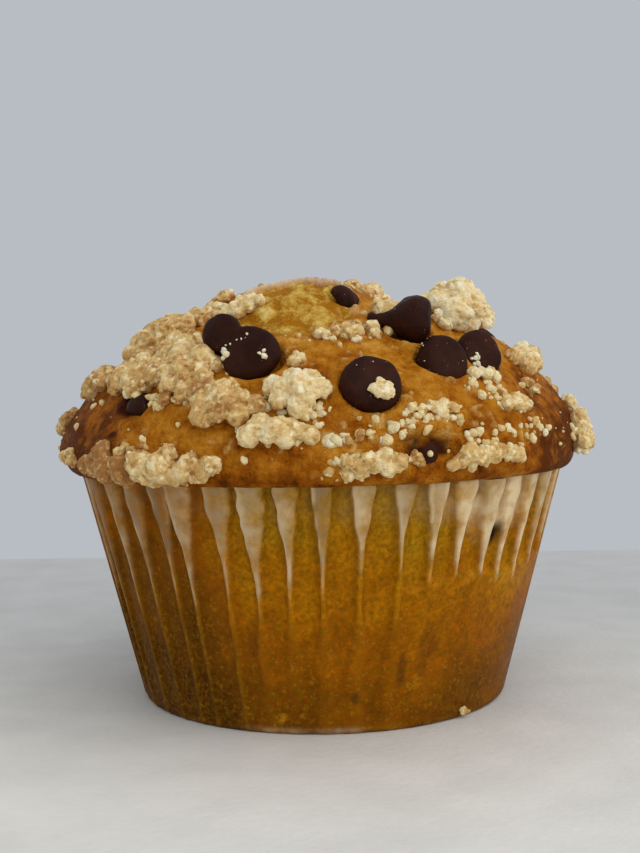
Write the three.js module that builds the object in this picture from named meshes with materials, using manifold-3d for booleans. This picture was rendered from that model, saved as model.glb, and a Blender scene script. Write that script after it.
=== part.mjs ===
// A streusel-topped chocolate chip muffin in its pleated paper baking case.
// Millimetres, +Z up. The origin is the middle of the case's flat base, and the front faces -Y.
// A place on the muffin is a bearing (degrees, 0 at the front, growing to the right) and a
// polar angle (degrees, 0 at the top of the dome, 90 at the lip, more under the lip).

import * as THREE from 'three';
import Module from 'manifold-3d';
import { mergeVertices } from 'three/addons/utils/BufferGeometryUtils.js';

const wasm = await Module();
wasm.setup();

// Driving dimensions of the paper case
const BASE_RADIUS = 25.4;
const RIM_RADIUS = 33.5;
const RIM_HEIGHT = 31.3;
const PLEATS = 46;
const PLEAT_DEPTH_AT_BASE = 0.3;
const PLEAT_DEPTH_AT_RIM = 1.4;
const PAPER = 0.35;
const GAP = 0.3;

// Half the width of a pleat's flat outer face, and the width of its flank, in degrees of bearing
const FACE_HALF_AT_BASE = 0.5;
const FACE_HALF_AT_WAIST = 0.7;
const FACE_HALF_AT_RIM = 2.3;
const FLANK = 0.7;
const WAIST_HEIGHT = 19;
const CASE_HEIGHTS = [0, WAIST_HEIGHT, RIM_HEIGHT];
const RIM_UNEVENNESS = 0.4;
const PLEAT_DRIFT = 0.9;
const FACE_VARIATION = [0.82, 1.16];

// Driving dimensions of the cake
const DOME_RADIUS = 35.9;
const DOME_RISE = 19.8;
const DOME_POWER = 1.3;
const DOME_SHIFT = -0.9;
const SHIFT_RAMP_HEIGHT = 3;
const LIP_HEIGHT = 34.8;
const UNDER_LIP_HEIGHT = RIM_HEIGHT + 0.45;
const WALL_TOP_RADIUS = RIM_RADIUS - PLEAT_DEPTH_AT_RIM - PAPER - GAP;
const WALL_BASE_RADIUS = BASE_RADIUS - PLEAT_DEPTH_AT_BASE - PAPER - GAP;
const CAKE_FLOOR = PAPER + GAP;
const CORNER_ROUND = 1.3;
const CAKE_COLUMNS = 54;
const WALL_STEPS = 2;
const UNDER_LIP_POLARS = [180, 155, 130, 108];
const DOME_POLARS = [90, 80, 71, 63, 55, 47, 40, 35, 31, 26, 19, 12, 5];

// Slow waves round the lip: how many to the round, how high, and where they start
const LIP_RADIUS_WAVES = [[2, 0.35, 0.6], [3, 0.3, 2.1], [7, 0.2, 1]];
const LIP_HEIGHT_WAVES = [[1, 0.6, 0], [3, 0.3, 0.9]];

// Relief of the crust: two ripples, and lobes that rose higher than the rest. Each ripple is six
// crossing waves whose lengths grow by even steps. Under the lip the relief fades out.
const RIPPLES = [
  { height: 0.6, wavelength: 17, seed: 1 },
  { height: 0.25, wavelength: 7, seed: 2 },
];
const WAVES = 6;
const SHORTEST_WAVE = 0.8;
const WAVE_STEP = 0.08;
const WAVE_PHASE = 1.7;
const RELIEF_FADE_POLARS = [80, 130];
const LOBES = [
  { name: 'torn crag', bearing: -18, polar: 15, height: 2.9, spread: 8.8, sharpness: 5 },
  { name: 'crag shoulder', bearing: 100, polar: 8, height: 0.9, spread: 8, sharpness: 3 },
  { name: 'right shoulder', bearing: 55, polar: 33, height: 1.2, spread: 9, sharpness: 2 },
  { name: 'front right swell', bearing: 28, polar: 64, height: 0.8, spread: 8, sharpness: 2 },
  { name: 'front left swell', bearing: -28, polar: 60, height: 0.6, spread: 9, sharpness: 2 },
  { name: 'right swell', bearing: 88, polar: 60, height: 1.5, spread: 10, sharpness: 3 },
  { name: 'back swell', bearing: 150, polar: 28, height: 1.4, spread: 9, sharpness: 2 },
  { name: 'back left swell', bearing: -140, polar: 45, height: 1.2, spread: 9, sharpness: 2 },
];

// Chocolate chips. Lift is how far the widest part stands above the crust. The tip leans away
// from straight out by lean degrees, towards the compass direction tilt (0 uphill, 90 to the
// right), so a chip that lies foot outwards, with its tip in the cake, leans by about 180.
const CHIPS = [
  { name: 'top', bearing: 31, polar: 39.8, radius: 3.2, lift: 1.7, tilt: 302, lean: 104 },
  { name: 'right_front', bearing: 33, polar: 52.5, radius: 3.35, lift: 0.3, tilt: 0, lean: 140 },
  { name: 'right_back', bearing: 47.6, polar: 50.3, radius: 3.1, lift: 0.3, tilt: 30, lean: 142 },
  { name: 'behind_crag', bearing: 17.5, polar: 21.5, radius: 2.3, lift: -0.9, tilt: 90, lean: 80 },
  { name: 'sunken_left', bearing: -41, polar: 64, radius: 3.0, lift: -2.2, tilt: 0, lean: 90 },
  { name: 'under_lip', bearing: 22.5, polar: 93, radius: 3.0, lift: -2.8, tilt: 90, lean: 60 },
  { name: 'back_right', bearing: 112, polar: 47, radius: 3.8, lift: 0.3, tilt: 30, lean: 170 },
  { name: 'back_middle', bearing: 168, polar: 58, radius: 3.9, lift: 0.4, tilt: 150, lean: 30 },
  { name: 'back_high', bearing: -168, polar: 24, radius: 3.6, lift: 0.3, tilt: 250, lean: 165 },
  { name: 'back_left', bearing: -124, polar: 63, radius: 3.8, lift: 0.3, tilt: 80, lean: 168 },
  { name: 'left_high', bearing: -100, polar: 44, radius: 3.4, lift: -0.2, tilt: 10, lean: 40 },
];
const FRONT_CHIP = { bearing: 12, polar: 61.5, radius: 3.85, lift: 0.1, tilt: 0, lean: 172 };
const CRUMB_ON_FRONT_CHIP = { right: 0.6, uphill: -1.7, out: 2.1, radius: 1.7 };
const MELTED_PAIR = [
  { bearing: -25.5, polar: 42.6, radius: 3.3, lift: 0.45, tilt: 0, lean: 146 },
  { bearing: -14, polar: 49.4, radius: 3.6, lift: 0.35, tilt: 0, lean: 142 },
];
const SIDE_CHIP = { bearing: 43, height: 24.5, radius: 1.9 };
const SIDE_CHIP_SUNK = 0.72;

// A chip's outline for a radius of one: flat foot, round belly, drawn-out tip
const CHIP_SIDES = 9;
const CHIP_FOOT = [[0, -0.54], [0.72, -0.56]];
const CHIP_BELLY = [[0.97, -0.34], [0.98, 0.06], [0.76, 0.46]];
const CHIP_TIP = [[0.26, 0.84], [0, 1]];
const NEAREST_CHIP_FACE = 0.54;

// Streusel clumps that stand as pieces of their own: where, size across, size uphill, rise at
// the middle, then the nuggets' radius and how many nuggets there are. A nugget's middle stands
// above the crust by a share of its radius.
const NUGGET_VARIATION = [0.85, 1.15];
const NUGGET_STAND = [0.1, 0.35];
const PATCH_START = 0.3;
const SMALLEST_RING = 6;
const clump = (name, [bearing, polar], [across, uphill, rise], [nugget, count]) => (
  { name, bearing, polar, across, uphill, rise, nugget, count });
const CLUMPS = [
  clump('top_right', [61, 35], [9.5, 9, 3.4], [2.3, 12]),
  clump('left_upper', [-58, 41], [14, 9.5, 1], [1.8, 18]),
  clump('left_lower', [-48, 54], [14, 7.5, 0.7], [1.7, 16]),
  clump('left_middle', [-30, 55], [8, 8.5, 0.9], [1.7, 11]),
  clump('left_shoulder', [-72, 57], [7, 6, 0.6], [1.6, 8]),
  clump('gold', [-17.5, 67.5], [8, 8, 1.1], [1.7, 10]),
  clump('cream', [-3.5, 64], [7, 6.6, 1.6], [1.8, 9]),
  clump('front_low', [-6.5, 77], [8.5, 4.8, 0.7], [1.5, 9]),
  clump('rim_left', [-45, 98], [11, 18, 0.4], [1.7, 11]),
  clump('rim_middle', [-27, 98], [10.5, 21, 0.6], [1.8, 11]),
  clump('rim_front', [10.5, 105], [7.4, 19, 0.2], [1.3, 10]),
  clump('rim_right', [34, 95], [8.6, 12, 0.2], [1.2, 11]),
  clump('right', [71.5, 55], [5.6, 5.4, 1.2], [1.6, 7]),
  clump('right_edge', [79, 88], [5, 24, 0.8], [1.7, 12]),
  clump('crag_left', [-60, 24], [5, 4.4, 0.7], [1.4, 5]),
  clump('crag_right', [29, 31.5], [4.6, 4, 0.7], [1.4, 5]),
  clump('back_top', [140, 18], [9, 7, 1.8], [1.8, 9]),
  clump('back_right', [135, 62], [10, 7, 1.6], [1.8, 10]),
  clump('back_low', [165, 82], [8, 5, 1.2], [1.6, 7]),
  clump('back_slope', [-155, 50], [11, 8, 1.6], [1.8, 12]),
  clump('back_left', [-122, 84], [8, 5, 1.1], [1.6, 7]),
  clump('left_edge', [-90, 74], [8, 6, 0.3], [1.3, 7]),
  clump('right_low', [108, 80], [7, 5, 1.1], [1.6, 7]),
];

// Small crumbs baked onto the crust: the groups that the front shows, then an even scatter
const CRUMB_GROUPS = [
  { bearing: 12, polar: 39.5, across: 9, uphill: 3, count: 6 },
  { bearing: 43, polar: 58.5, across: 4.4, uphill: 1.6, count: 3 },
  { bearing: 46.5, polar: 69.5, across: 5.4, uphill: 3, count: 5 },
  { bearing: 23.5, polar: 71.5, across: 7, uphill: 2.4, count: 4 },
  { bearing: 2, polar: 80, across: 6, uphill: 1.4, count: 3 },
  { bearing: -36, polar: 27, across: 7, uphill: 2, count: 4 },
];
// A clump's skin has more faces the more nuggets it covers
const CLUMP_DETAIL_STEPS = [0, 7, 12];
const SHORTEST_REACH = 0.8;
const CRUMB_VARIATION = [0.75, 1.25];
const CRUMB_SECOND_TURN = 1.7;
const GROUPED_CRUMB_RADIUS = 0.95;
const GROUPED_CRUMB_LIFT = 0.25;
const SCATTERED_CRUMBS = 20;
const SCATTER_POLARS = [22, 92];
const SCATTERED_CRUMB_RADIUS = 0.9;
const SCATTERED_CRUMB_LIFT = 0.15;
const CRUMB_CLEARANCE = 1.6;

const DEGREE = Math.PI / 180;
const GOLDEN_ANGLE = Math.PI * (3 - Math.sqrt(5));
const GOLDEN_STEP = 0.618034;
const SEED_STEP = 0.37;

const CRUST = new THREE.MeshStandardMaterial({ color: 0xa4702c, roughness: 0.75, metalness: 0 });
const CHOCOLATE = new THREE.MeshStandardMaterial({ color: 0x3e271e, roughness: 0.45, metalness: 0 });
const STREUSEL = new THREE.MeshStandardMaterial({ color: 0xd2b078, roughness: 0.8, metalness: 0 });
const GREASED_PAPER = new THREE.MeshStandardMaterial({ color: 0x8f5a12, roughness: 0.6, metalness: 0 });

// Small helpers
const mix = (from, to, share) => from + (to - from) * share;
const clamp = (value, low, high) => Math.min(Math.max(value, low), high);
const evenly = (index, seed) => (index * GOLDEN_STEP + seed * SEED_STEP) % 1;
const waving = (waves, bearing) => waves.reduce(
  (sum, [count, height, start]) => sum + height * Math.sin(count * bearing + start), 0);
const around = (radius, bearing, height) =>
  new THREE.Vector3(radius * Math.sin(bearing), -radius * Math.cos(bearing), height);

// A smooth wavy value, about -1 to 1, from crossing waves
function ripple(point, { wavelength, seed }) {
  let total = 0;
  for (let wave = 0; wave < WAVES; wave += 1) {
    const turn = GOLDEN_ANGLE * (wave + seed);
    const up = 1 - 2 * evenly(wave, seed);
    const flat = Math.sqrt(1 - up * up);
    const along = point.dot(new THREE.Vector3(flat * Math.cos(turn), flat * Math.sin(turn), up));
    const length = wavelength * (SHORTEST_WAVE + WAVE_STEP * wave);
    total += Math.sin((along * 2 * Math.PI) / length + turn * WAVE_PHASE + seed);
  }
  return total / WAVES;
}

// The dome's plain form: a domed top, rolled under at the lip to meet the wall
function domeForm(bearing, polar) {
  const lipRadius = DOME_RADIUS + waving(LIP_RADIUS_WAVES, bearing);
  const lipHeight = LIP_HEIGHT + waving(LIP_HEIGHT_WAVES, bearing);
  const out = Math.sin(polar);
  const up = Math.cos(polar);
  const onTop = polar <= Math.PI / 2;
  const radius = onTop ? lipRadius * out : mix(WALL_TOP_RADIUS, lipRadius, out);
  const height = onTop
    ? lipHeight + (LIP_HEIGHT + DOME_RISE - lipHeight) * Math.max(up, 0) ** DOME_POWER
    : lipHeight + (lipHeight - UNDER_LIP_HEIGHT) * up;
  const point = around(radius, bearing, height);
  point.x += DOME_SHIFT * clamp((height - UNDER_LIP_HEIGHT) / SHIFT_RAMP_HEIGHT, 0, 1);
  return point;
}

function domeNormal(bearing, polar) {
  const step = 1e-3;
  const across = domeForm(bearing + step, polar).sub(domeForm(bearing - step, polar));
  const down = domeForm(bearing, polar + step).sub(domeForm(bearing, Math.max(polar - step, 0)));
  return down.cross(across).normalize();
}

const LOBE_CENTRES = LOBES.map((lobe) => domeForm(lobe.bearing * DEGREE, lobe.polar * DEGREE));

function relief(point) {
  let height = RIPPLES.reduce((sum, wave) => sum + wave.height * ripple(point, wave), 0);
  LOBES.forEach((lobe, index) => {
    const distance = point.distanceTo(LOBE_CENTRES[index]) / lobe.spread;
    height += lobe.height * Math.exp(-(distance ** lobe.sharpness));
  });
  return height;
}

// A point on the crust, or lifted off it along its normal
function crustPoint(bearing, polar, lift = 0) {
  const safePolar = Math.max(polar, 1e-3);
  const point = domeForm(bearing, safePolar);
  const [full, none] = RELIEF_FADE_POLARS;
  const fade = clamp((none * DEGREE - safePolar) / ((none - full) * DEGREE), 0, 1);
  return point.addScaledVector(domeNormal(bearing, safePolar), relief(point) * fade + lift);
}

// A closed skin over rings of equal length, its two ends closed over one or three hub points
function loft(rings, startHubs, endHubs) {
  const columns = rings[0].length;
  const points = rings.flat();
  const triangles = [];
  for (let row = 0; row + 1 < rings.length; row += 1) {
    for (let i = 0; i < columns; i += 1) {
      const [near, far] = [row * columns + i, row * columns + ((i + 1) % columns)];
      triangles.push(near, far, far + columns, near, far + columns, near + columns);
    }
  }
  const close = (hubs, ringStart, facesUp) => {
    const hubStart = points.length;
    points.push(...hubs);
    const add = (a, b, c) => triangles.push(...(facesUp ? [a, b, c] : [a, c, b]));
    for (let i = 0; i < columns; i += 1) {
      const j = (i + 1) % columns;
      const hub = hubStart + Math.floor((i * hubs.length) / columns);
      const nextHub = hubStart + Math.floor((j * hubs.length) / columns);
      add(hub, ringStart + i, ringStart + j);
      if (nextHub !== hub) add(hub, ringStart + j, nextHub);
    }
    if (hubs.length === 3) add(hubStart, hubStart + 1, hubStart + 2);
  };
  close(startHubs, 0, false);
  close(endHubs, (rings.length - 1) * columns, true);
  const geometry = new THREE.BufferGeometry().setFromPoints(points);
  geometry.setIndex(triangles);
  return geometry;
}

// Between three.js geometry and solids that can be joined and cut
function solid(geometry) {
  const plain = geometry.clone();
  plain.deleteAttribute('normal');
  plain.deleteAttribute('uv');
  const merged = mergeVertices(plain, 1e-4);
  return new wasm.Manifold(new wasm.Mesh({
    numProp: 3,
    vertProperties: new Float32Array(merged.attributes.position.array),
    triVerts: new Uint32Array(merged.index.array),
  }));
}

function geometryOf(body) {
  const mesh = body.getMesh();
  const geometry = new THREE.BufferGeometry();
  geometry.setAttribute('position', new THREE.Float32BufferAttribute(mesh.vertProperties, 3));
  geometry.setIndex(Array.from(mesh.triVerts));
  return geometry;
}

const joined = (bodies) => bodies.reduce((whole, body) => whole.add(body));

// The largest piece of a cut solid, without the loose scraps
function largestPiece(body) {
  const pieces = body.decompose();
  return pieces.reduce((best, piece) => (piece.volume() > best.volume() ? piece : best));
}

// One ring of the pleated case, inset from its outer face by the paper's thickness or nothing
function caseRing(height, inset) {
  const share = height / RIM_HEIGHT;
  const ridgeRadius = mix(BASE_RADIUS, RIM_RADIUS, share) - inset;
  const valleyRadius = ridgeRadius - mix(PLEAT_DEPTH_AT_BASE, PLEAT_DEPTH_AT_RIM, share * share);
  const faceHalf = height < WAIST_HEIGHT
    ? mix(FACE_HALF_AT_BASE, FACE_HALF_AT_WAIST, height / WAIST_HEIGHT)
    : mix(FACE_HALF_AT_WAIST, FACE_HALF_AT_RIM, (height - WAIST_HEIGHT) / (RIM_HEIGHT - WAIST_HEIGHT));
  const ring = [];
  for (let pleat = 0; pleat < PLEATS; pleat += 1) {
    const drift = PLEAT_DRIFT * (evenly(pleat, 3) - 0.5);
    const middle = (pleat * 360) / PLEATS + drift;
    const half = faceHalf * mix(...FACE_VARIATION, evenly(pleat, 8));
    const top = height - (height === RIM_HEIGHT ? RIM_UNEVENNESS * evenly(pleat, 5) : 0);
    const corner = (offset, radius) => ring.push(around(radius, (middle + offset) * DEGREE, top));
    corner(-half - FLANK, valleyRadius);
    corner(-half, ridgeRadius);
    corner(half, ridgeRadius);
    corner(half + FLANK, valleyRadius);
  }
  return ring;
}

function makePaperCase() {
  const outside = CASE_HEIGHTS.map((height) => caseRing(height, 0));
  const inside = CASE_HEIGHTS.map((height) => caseRing(height, PAPER)).reverse();
  const floorRing = inside.pop().map((point) => point.setZ(PAPER));
  const hubs = (height) => [60, 180, 300].map(
    (bearing) => around(BASE_RADIUS / 2, bearing * DEGREE, height));
  return loft([...outside, ...inside, floorRing], hubs(0), hubs(PAPER));
}

// The whole cake without its crumbs, or the same form grown on every side
function makeCakeForm(grow) {
  const bearings = Array.from({ length: CAKE_COLUMNS }, (_, i) => (i * 2 * Math.PI) / CAKE_COLUMNS);
  const ringAt = (radius, height) => bearings.map((bearing) => around(radius, bearing, height));
  const wall = [ringAt(WALL_BASE_RADIUS - CORNER_ROUND, CAKE_FLOOR - grow)];
  for (let step = 0; step < WALL_STEPS; step += 1) {
    const height = mix(CAKE_FLOOR + CORNER_ROUND, UNDER_LIP_HEIGHT, step / WALL_STEPS);
    wall.push(ringAt(mix(WALL_BASE_RADIUS, WALL_TOP_RADIUS, height / UNDER_LIP_HEIGHT) + grow, height));
  }
  const crust = [...UNDER_LIP_POLARS, ...DOME_POLARS]
    .map((polar) => bearings.map((bearing) => crustPoint(bearing, polar * DEGREE, grow)));
  const floorMiddle = new THREE.Vector3(0, 0, CAKE_FLOOR - grow);
  return solid(loft([...wall, ...crust], [floorMiddle], [crustPoint(0, 0, grow)]));
}

// The frame of a place on the crust: where it is, outwards, uphill and to the right
function placeOn(bearing, polar, lift) {
  const out = domeNormal(bearing, polar);
  const right = new THREE.Vector3(Math.cos(bearing), Math.sin(bearing), 0);
  const uphill = new THREE.Vector3().crossVectors(out, right).normalize();
  return { point: crustPoint(bearing, polar, lift), out, right, uphill };
}

// A chip's resting place as a matrix: its foot in the crust and its tip leaning
function chipMatrix({ bearing, polar, lift, tilt, lean }) {
  const place = placeOn(bearing * DEGREE, polar * DEGREE, lift);
  const sideways = place.uphill.clone().multiplyScalar(Math.cos(tilt * DEGREE))
    .addScaledVector(place.right, Math.sin(tilt * DEGREE));
  const tip = place.out.clone().multiplyScalar(Math.cos(lean * DEGREE))
    .addScaledVector(sideways, Math.sin(lean * DEGREE));
  const turn = new THREE.Quaternion().setFromUnitVectors(new THREE.Vector3(0, 0, 1), tip);
  return new THREE.Matrix4().compose(place.point, turn, new THREE.Vector3(1, 1, 1));
}

function chipGeometry(radius, grow) {
  const scale = radius + grow / NEAREST_CHIP_FACE;
  const outline = [...CHIP_FOOT, ...CHIP_BELLY, ...CHIP_TIP]
    .map(([out, up]) => new THREE.Vector2(out * scale, up * scale));
  return new THREE.LatheGeometry(outline, CHIP_SIDES).rotateX(Math.PI / 2);
}

const chipBody = (chip, grow) => solid(chipGeometry(chip.radius, grow).applyMatrix4(chipMatrix(chip)));

function sideChipBody(grow) {
  const share = SIDE_CHIP.height / UNDER_LIP_HEIGHT;
  const bearing = SIDE_CHIP.bearing * DEGREE;
  const radius = mix(WALL_BASE_RADIUS, WALL_TOP_RADIUS, share) - SIDE_CHIP.radius * SIDE_CHIP_SUNK;
  const middle = around(radius, bearing, SIDE_CHIP.height);
  const chip = chipGeometry(SIDE_CHIP.radius, grow).rotateX(Math.PI / 2).rotateZ(bearing);
  return solid(chip.translate(middle.x, middle.y, middle.z));
}

// The chip at the front, with the crumb that is baked onto its foot
function frontChipBody() {
  const { right, uphill, out, radius } = CRUMB_ON_FRONT_CHIP;
  const place = placeOn(FRONT_CHIP.bearing * DEGREE, FRONT_CHIP.polar * DEGREE, FRONT_CHIP.lift);
  const middle = place.point.addScaledVector(place.right, right)
    .addScaledVector(place.uphill, uphill).addScaledVector(place.out, out);
  return chipBody(FRONT_CHIP, 0).add(crumbBody({ middle, radius, turn: 1 }));
}

// A rough round crumb with twenty sides
function crumbBody({ middle, radius, turn }) {
  return solid(new THREE.IcosahedronGeometry(radius, 0)
    .rotateX(turn).rotateZ(turn * CRUMB_SECOND_TURN).translate(middle.x, middle.y, middle.z));
}

// Nuggets spread evenly over an oval patch of crust, and higher towards its middle
function patch({ bearing, polar, across, uphill, count }, seed, shape) {
  const lumps = [];
  const ring = Math.max(DOME_RADIUS * Math.sin(polar * DEGREE), SMALLEST_RING);
  for (let i = 0; i < count; i += 1) {
    const reach = Math.sqrt((i + PATCH_START) / count);
    const turn = i * GOLDEN_ANGLE + seed;
    const spotBearing = bearing * DEGREE + (reach * across * Math.cos(turn)) / (2 * ring);
    const spotPolar = polar * DEGREE - (reach * uphill * Math.sin(turn)) / (2 * DOME_RADIUS);
    const { radius, lift } = shape(reach, evenly(i, seed));
    lumps.push({ middle: crustPoint(spotBearing, spotPolar, lift), radius, turn });
  }
  return lumps;
}

function clumpLumps(spec, seed) {
  return patch(spec, seed, (reach, chance) => ({
    radius: spec.nugget * mix(...NUGGET_VARIATION, chance),
    lift: spec.rise * (1 - reach * reach) + spec.nugget * mix(...NUGGET_STAND, chance),
  }));
}

function smallCrumbs() {
  const grouped = CRUMB_GROUPS.flatMap((group, index) => patch(group, index + 1, (reach, chance) => (
    { radius: GROUPED_CRUMB_RADIUS * mix(...CRUMB_VARIATION, chance), lift: GROUPED_CRUMB_LIFT })));
  const [first, last] = SCATTER_POLARS;
  const scattered = Array.from({ length: SCATTERED_CRUMBS }, (_, i) => ({
    middle: crustPoint(
      i * GOLDEN_ANGLE, mix(first, last, Math.sqrt(evenly(i, 4))) * DEGREE, SCATTERED_CRUMB_LIFT),
    radius: SCATTERED_CRUMB_RADIUS * mix(...CRUMB_VARIATION, evenly(i, 7)),
    turn: i,
  }));
  return [...grouped, ...scattered];
}

// One closed skin drawn over a clump's nuggets: from its middle, each corner of a many-sided ball
// moves out to the far side of the nugget it meets there
function clumpBody(lumps, grow) {
  const sum = lumps.reduce((total, lump) => total.add(lump.middle), new THREE.Vector3());
  const middle = sum.divideScalar(lumps.length);
  const detail = CLUMP_DETAIL_STEPS.filter((count) => lumps.length > count).length;
  const skin = new THREE.IcosahedronGeometry(1, detail);
  const corners = skin.attributes.position;
  const way = new THREE.Vector3();
  for (let i = 0; i < corners.count; i += 1) {
    way.fromBufferAttribute(corners, i);
    const reaches = lumps.map((lump) => {
      const toLump = lump.middle.clone().sub(middle);
      const ahead = toLump.dot(way);
      const aside = Math.sqrt(Math.max(toLump.lengthSq() - ahead * ahead, 0));
      const spare = lump.radius ** 2 - aside ** 2;
      return spare > 0 ? ahead + Math.sqrt(spare) : ahead + lump.radius - aside;
    });
    way.multiplyScalar(Math.max(...reaches, SHORTEST_REACH) + grow).add(middle);
    corners.setXYZ(i, way.x, way.y, way.z);
  }
  return solid(skin);
}

const isClear = (crumb, others) => others.every(
  (other) => crumb.middle.distanceTo(other.middle) > crumb.radius + other.radius + CRUMB_CLEARANCE);

// Everything that the clumps keep clear of below them: the cake, and the case up to its rim
function makeKeepOut() {
  const rim = RIM_RADIUS + GAP;
  const outline = [[0, 0], [BASE_RADIUS + GAP, 0], [rim, RIM_HEIGHT + GAP], [0, RIM_HEIGHT + GAP]];
  const cup = new THREE.LatheGeometry(outline.map(([out, up]) => new THREE.Vector2(out, up)), PLEATS);
  return makeCakeForm(GAP).add(solid(cup.rotateX(Math.PI / 2)));
}

function buildMuffin() {
  const muffin = new THREE.Group();
  const addMesh = (name, geometry, material) => {
    const mesh = new THREE.Mesh(geometry, material);
    mesh.name = name;
    muffin.add(mesh);
    return mesh;
  };
  addMesh('paper_case', makePaperCase(), GREASED_PAPER);

  const allChips = [FRONT_CHIP, ...CHIPS, ...MELTED_PAIR];
  const grownChips = allChips.map((chip) => chipBody(chip, GAP));
  const chipSockets = joined([...grownChips, sideChipBody(GAP)]);
  for (const chip of CHIPS) {
    const mesh = addMesh(`chip_${chip.name}`, chipGeometry(chip.radius, 0), CHOCOLATE);
    chipMatrix(chip).decompose(mesh.position, mesh.quaternion, mesh.scale);
  }
  addMesh('chip_front', geometryOf(frontChipBody()), CHOCOLATE);
  addMesh('chip_left_pair', geometryOf(joined(MELTED_PAIR.map((chip) => chipBody(chip, 0)))), CHOCOLATE);
  addMesh('chip_in_side', geometryOf(sideChipBody(0)), CHOCOLATE);

  const lumpsOf = CLUMPS.map((clump, index) => clumpLumps(clump, index + 1));
  const chipSpots = allChips.map((chip) => (
    { middle: crustPoint(chip.bearing * DEGREE, chip.polar * DEGREE, chip.lift), radius: chip.radius }));
  const crumbs = smallCrumbs().filter((crumb) => isClear(crumb, [...lumpsOf.flat(), ...chipSpots]));
  const cake = makeCakeForm(0).add(joined(crumbs.map(crumbBody))).subtract(chipSockets);
  addMesh('muffin_cake', geometryOf(largestPiece(cake)), CRUST);

  let taken = makeKeepOut().add(chipSockets);
  CLUMPS.forEach(({ name }, index) => {
    const lumps = lumpsOf[index];
    const piece = largestPiece(clumpBody(lumps, 0).subtract(taken));
    addMesh(`streusel_${name}`, geometryOf(piece), STREUSEL);
    taken = taken.add(clumpBody(lumps, GAP));
  });
  return muffin;
}

export default buildMuffin();
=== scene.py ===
"""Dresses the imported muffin: the crumb-topped cake, its chocolate chips and the greased paper case.

The forms repeat the part's own sizes. Meshes are worked out in millimetres and stored in metres.
"""

from __future__ import annotations

import logging
import math
from collections.abc import Sequence
from dataclasses import dataclass, field
from enum import Enum

import bmesh
import bpy
import numpy as np
from mathutils import Matrix, Vector

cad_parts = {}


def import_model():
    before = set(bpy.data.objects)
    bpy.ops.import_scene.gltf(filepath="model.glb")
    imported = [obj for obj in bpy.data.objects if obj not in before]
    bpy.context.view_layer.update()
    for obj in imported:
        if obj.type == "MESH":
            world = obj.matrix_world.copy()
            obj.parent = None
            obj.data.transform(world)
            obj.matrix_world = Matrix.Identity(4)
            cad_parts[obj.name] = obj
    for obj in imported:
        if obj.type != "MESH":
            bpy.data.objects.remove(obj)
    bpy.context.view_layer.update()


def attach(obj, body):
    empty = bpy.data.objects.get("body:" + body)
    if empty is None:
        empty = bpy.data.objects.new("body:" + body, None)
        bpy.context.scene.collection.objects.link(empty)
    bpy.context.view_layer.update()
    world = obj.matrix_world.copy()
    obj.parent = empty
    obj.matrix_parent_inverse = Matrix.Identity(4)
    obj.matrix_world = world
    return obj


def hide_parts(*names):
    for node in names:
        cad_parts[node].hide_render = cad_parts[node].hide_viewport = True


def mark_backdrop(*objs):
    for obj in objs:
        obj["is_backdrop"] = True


LOG = logging.getLogger("muffin")
MM = 0.001
GOLDEN_ANGLE = math.pi * (3 - math.sqrt(5))
GOLDEN_STEP = 0.618034
Array = np.ndarray
Colour = tuple[float, float, float]
Point = tuple[float, float, float]


class Slot(Enum):
    """The record's material slots."""

    CRUST = "cake_crust"
    PAPER = "greased_paper"
    CHOCOLATE = "chocolate"
    STREUSEL = "streusel"


# Numbers and noise


def tone(red: int, green: int, blue: int) -> Colour:
    """Turns an everyday 0 to 255 colour into the linear one that shaders take."""
    shares = (channel / 255 for channel in (red, green, blue))
    return tuple(s / 12.92 if s <= 0.04045 else ((s + 0.055) / 1.055) ** 2.4 for s in shares)


def evenly(index: Array | int, seed: int) -> Array | float:
    """Spreads whole numbers evenly over 0 to 1, as the part does."""
    return (index * GOLDEN_STEP + seed * 0.37) % 1


def step(low: float, high: float, values: Array) -> Array:
    """A soft step from 0 at low to 1 at high."""
    share = np.clip((values - low) / (high - low), 0, 1)
    return share * share * (3 - 2 * share)


def bell(values: Array, middle: float, width: float) -> Array:
    """A soft bell: 1 at the middle, and next to nothing two widths away."""
    return np.exp(-((values - middle) / width) ** 2)


def wrapped(degrees: Array) -> Array:
    """Degrees brought to between -180 and 180."""
    return (degrees + 180) % 360 - 180


def bearing_degrees(bearing: Array) -> Array:
    """A bearing in radians as degrees between -180 and 180."""
    return np.degrees((bearing + math.pi) % (2 * math.pi) - math.pi)


def noise(points: Array, size: float, seed: int = 0) -> Array:
    """Smooth noise of a given size.

    Args:
        points: places in millimetres, one row each.
        size: the width of a bump in millimetres.
        seed: picks one of many patterns.

    Returns:
        A value for each place, about -0.7 to 0.7.
    """
    scaled = points / size + seed * 17.31
    cell = np.floor(scaled).astype(np.int64)
    part = scaled - cell
    ease = part ** 3 * (part * (part * 6 - 15) + 10)
    total = np.zeros(len(points))
    for corner in range(8):
        offset = np.array([corner & 1, corner >> 1 & 1, corner >> 2])
        key = (cell + offset) * np.array([73856093, 19349663, 83492791])
        mixed = (key[:, 0] ^ key[:, 1] ^ key[:, 2]) & 0xFFFFFFFF
        mixed = (mixed ^ mixed >> 13) * 1274126177 & 0xFFFFFFFF
        mixed ^= mixed >> 16
        slope = np.stack([mixed >> shift & 1023 for shift in (0, 10, 20)], -1) / 511.5 - 1
        weight = np.prod(np.where(offset, ease, 1 - ease), -1)
        total += weight * ((part - offset) * slope).sum(-1)
    return total


def layers(points: Array, size: float, seed: int, count: int = 3) -> Array:
    """Noise in several sizes, each half as wide and half as strong as the last."""
    return sum(noise(points, size / 2 ** i, seed + i) / 2 ** i for i in range(count))


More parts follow.
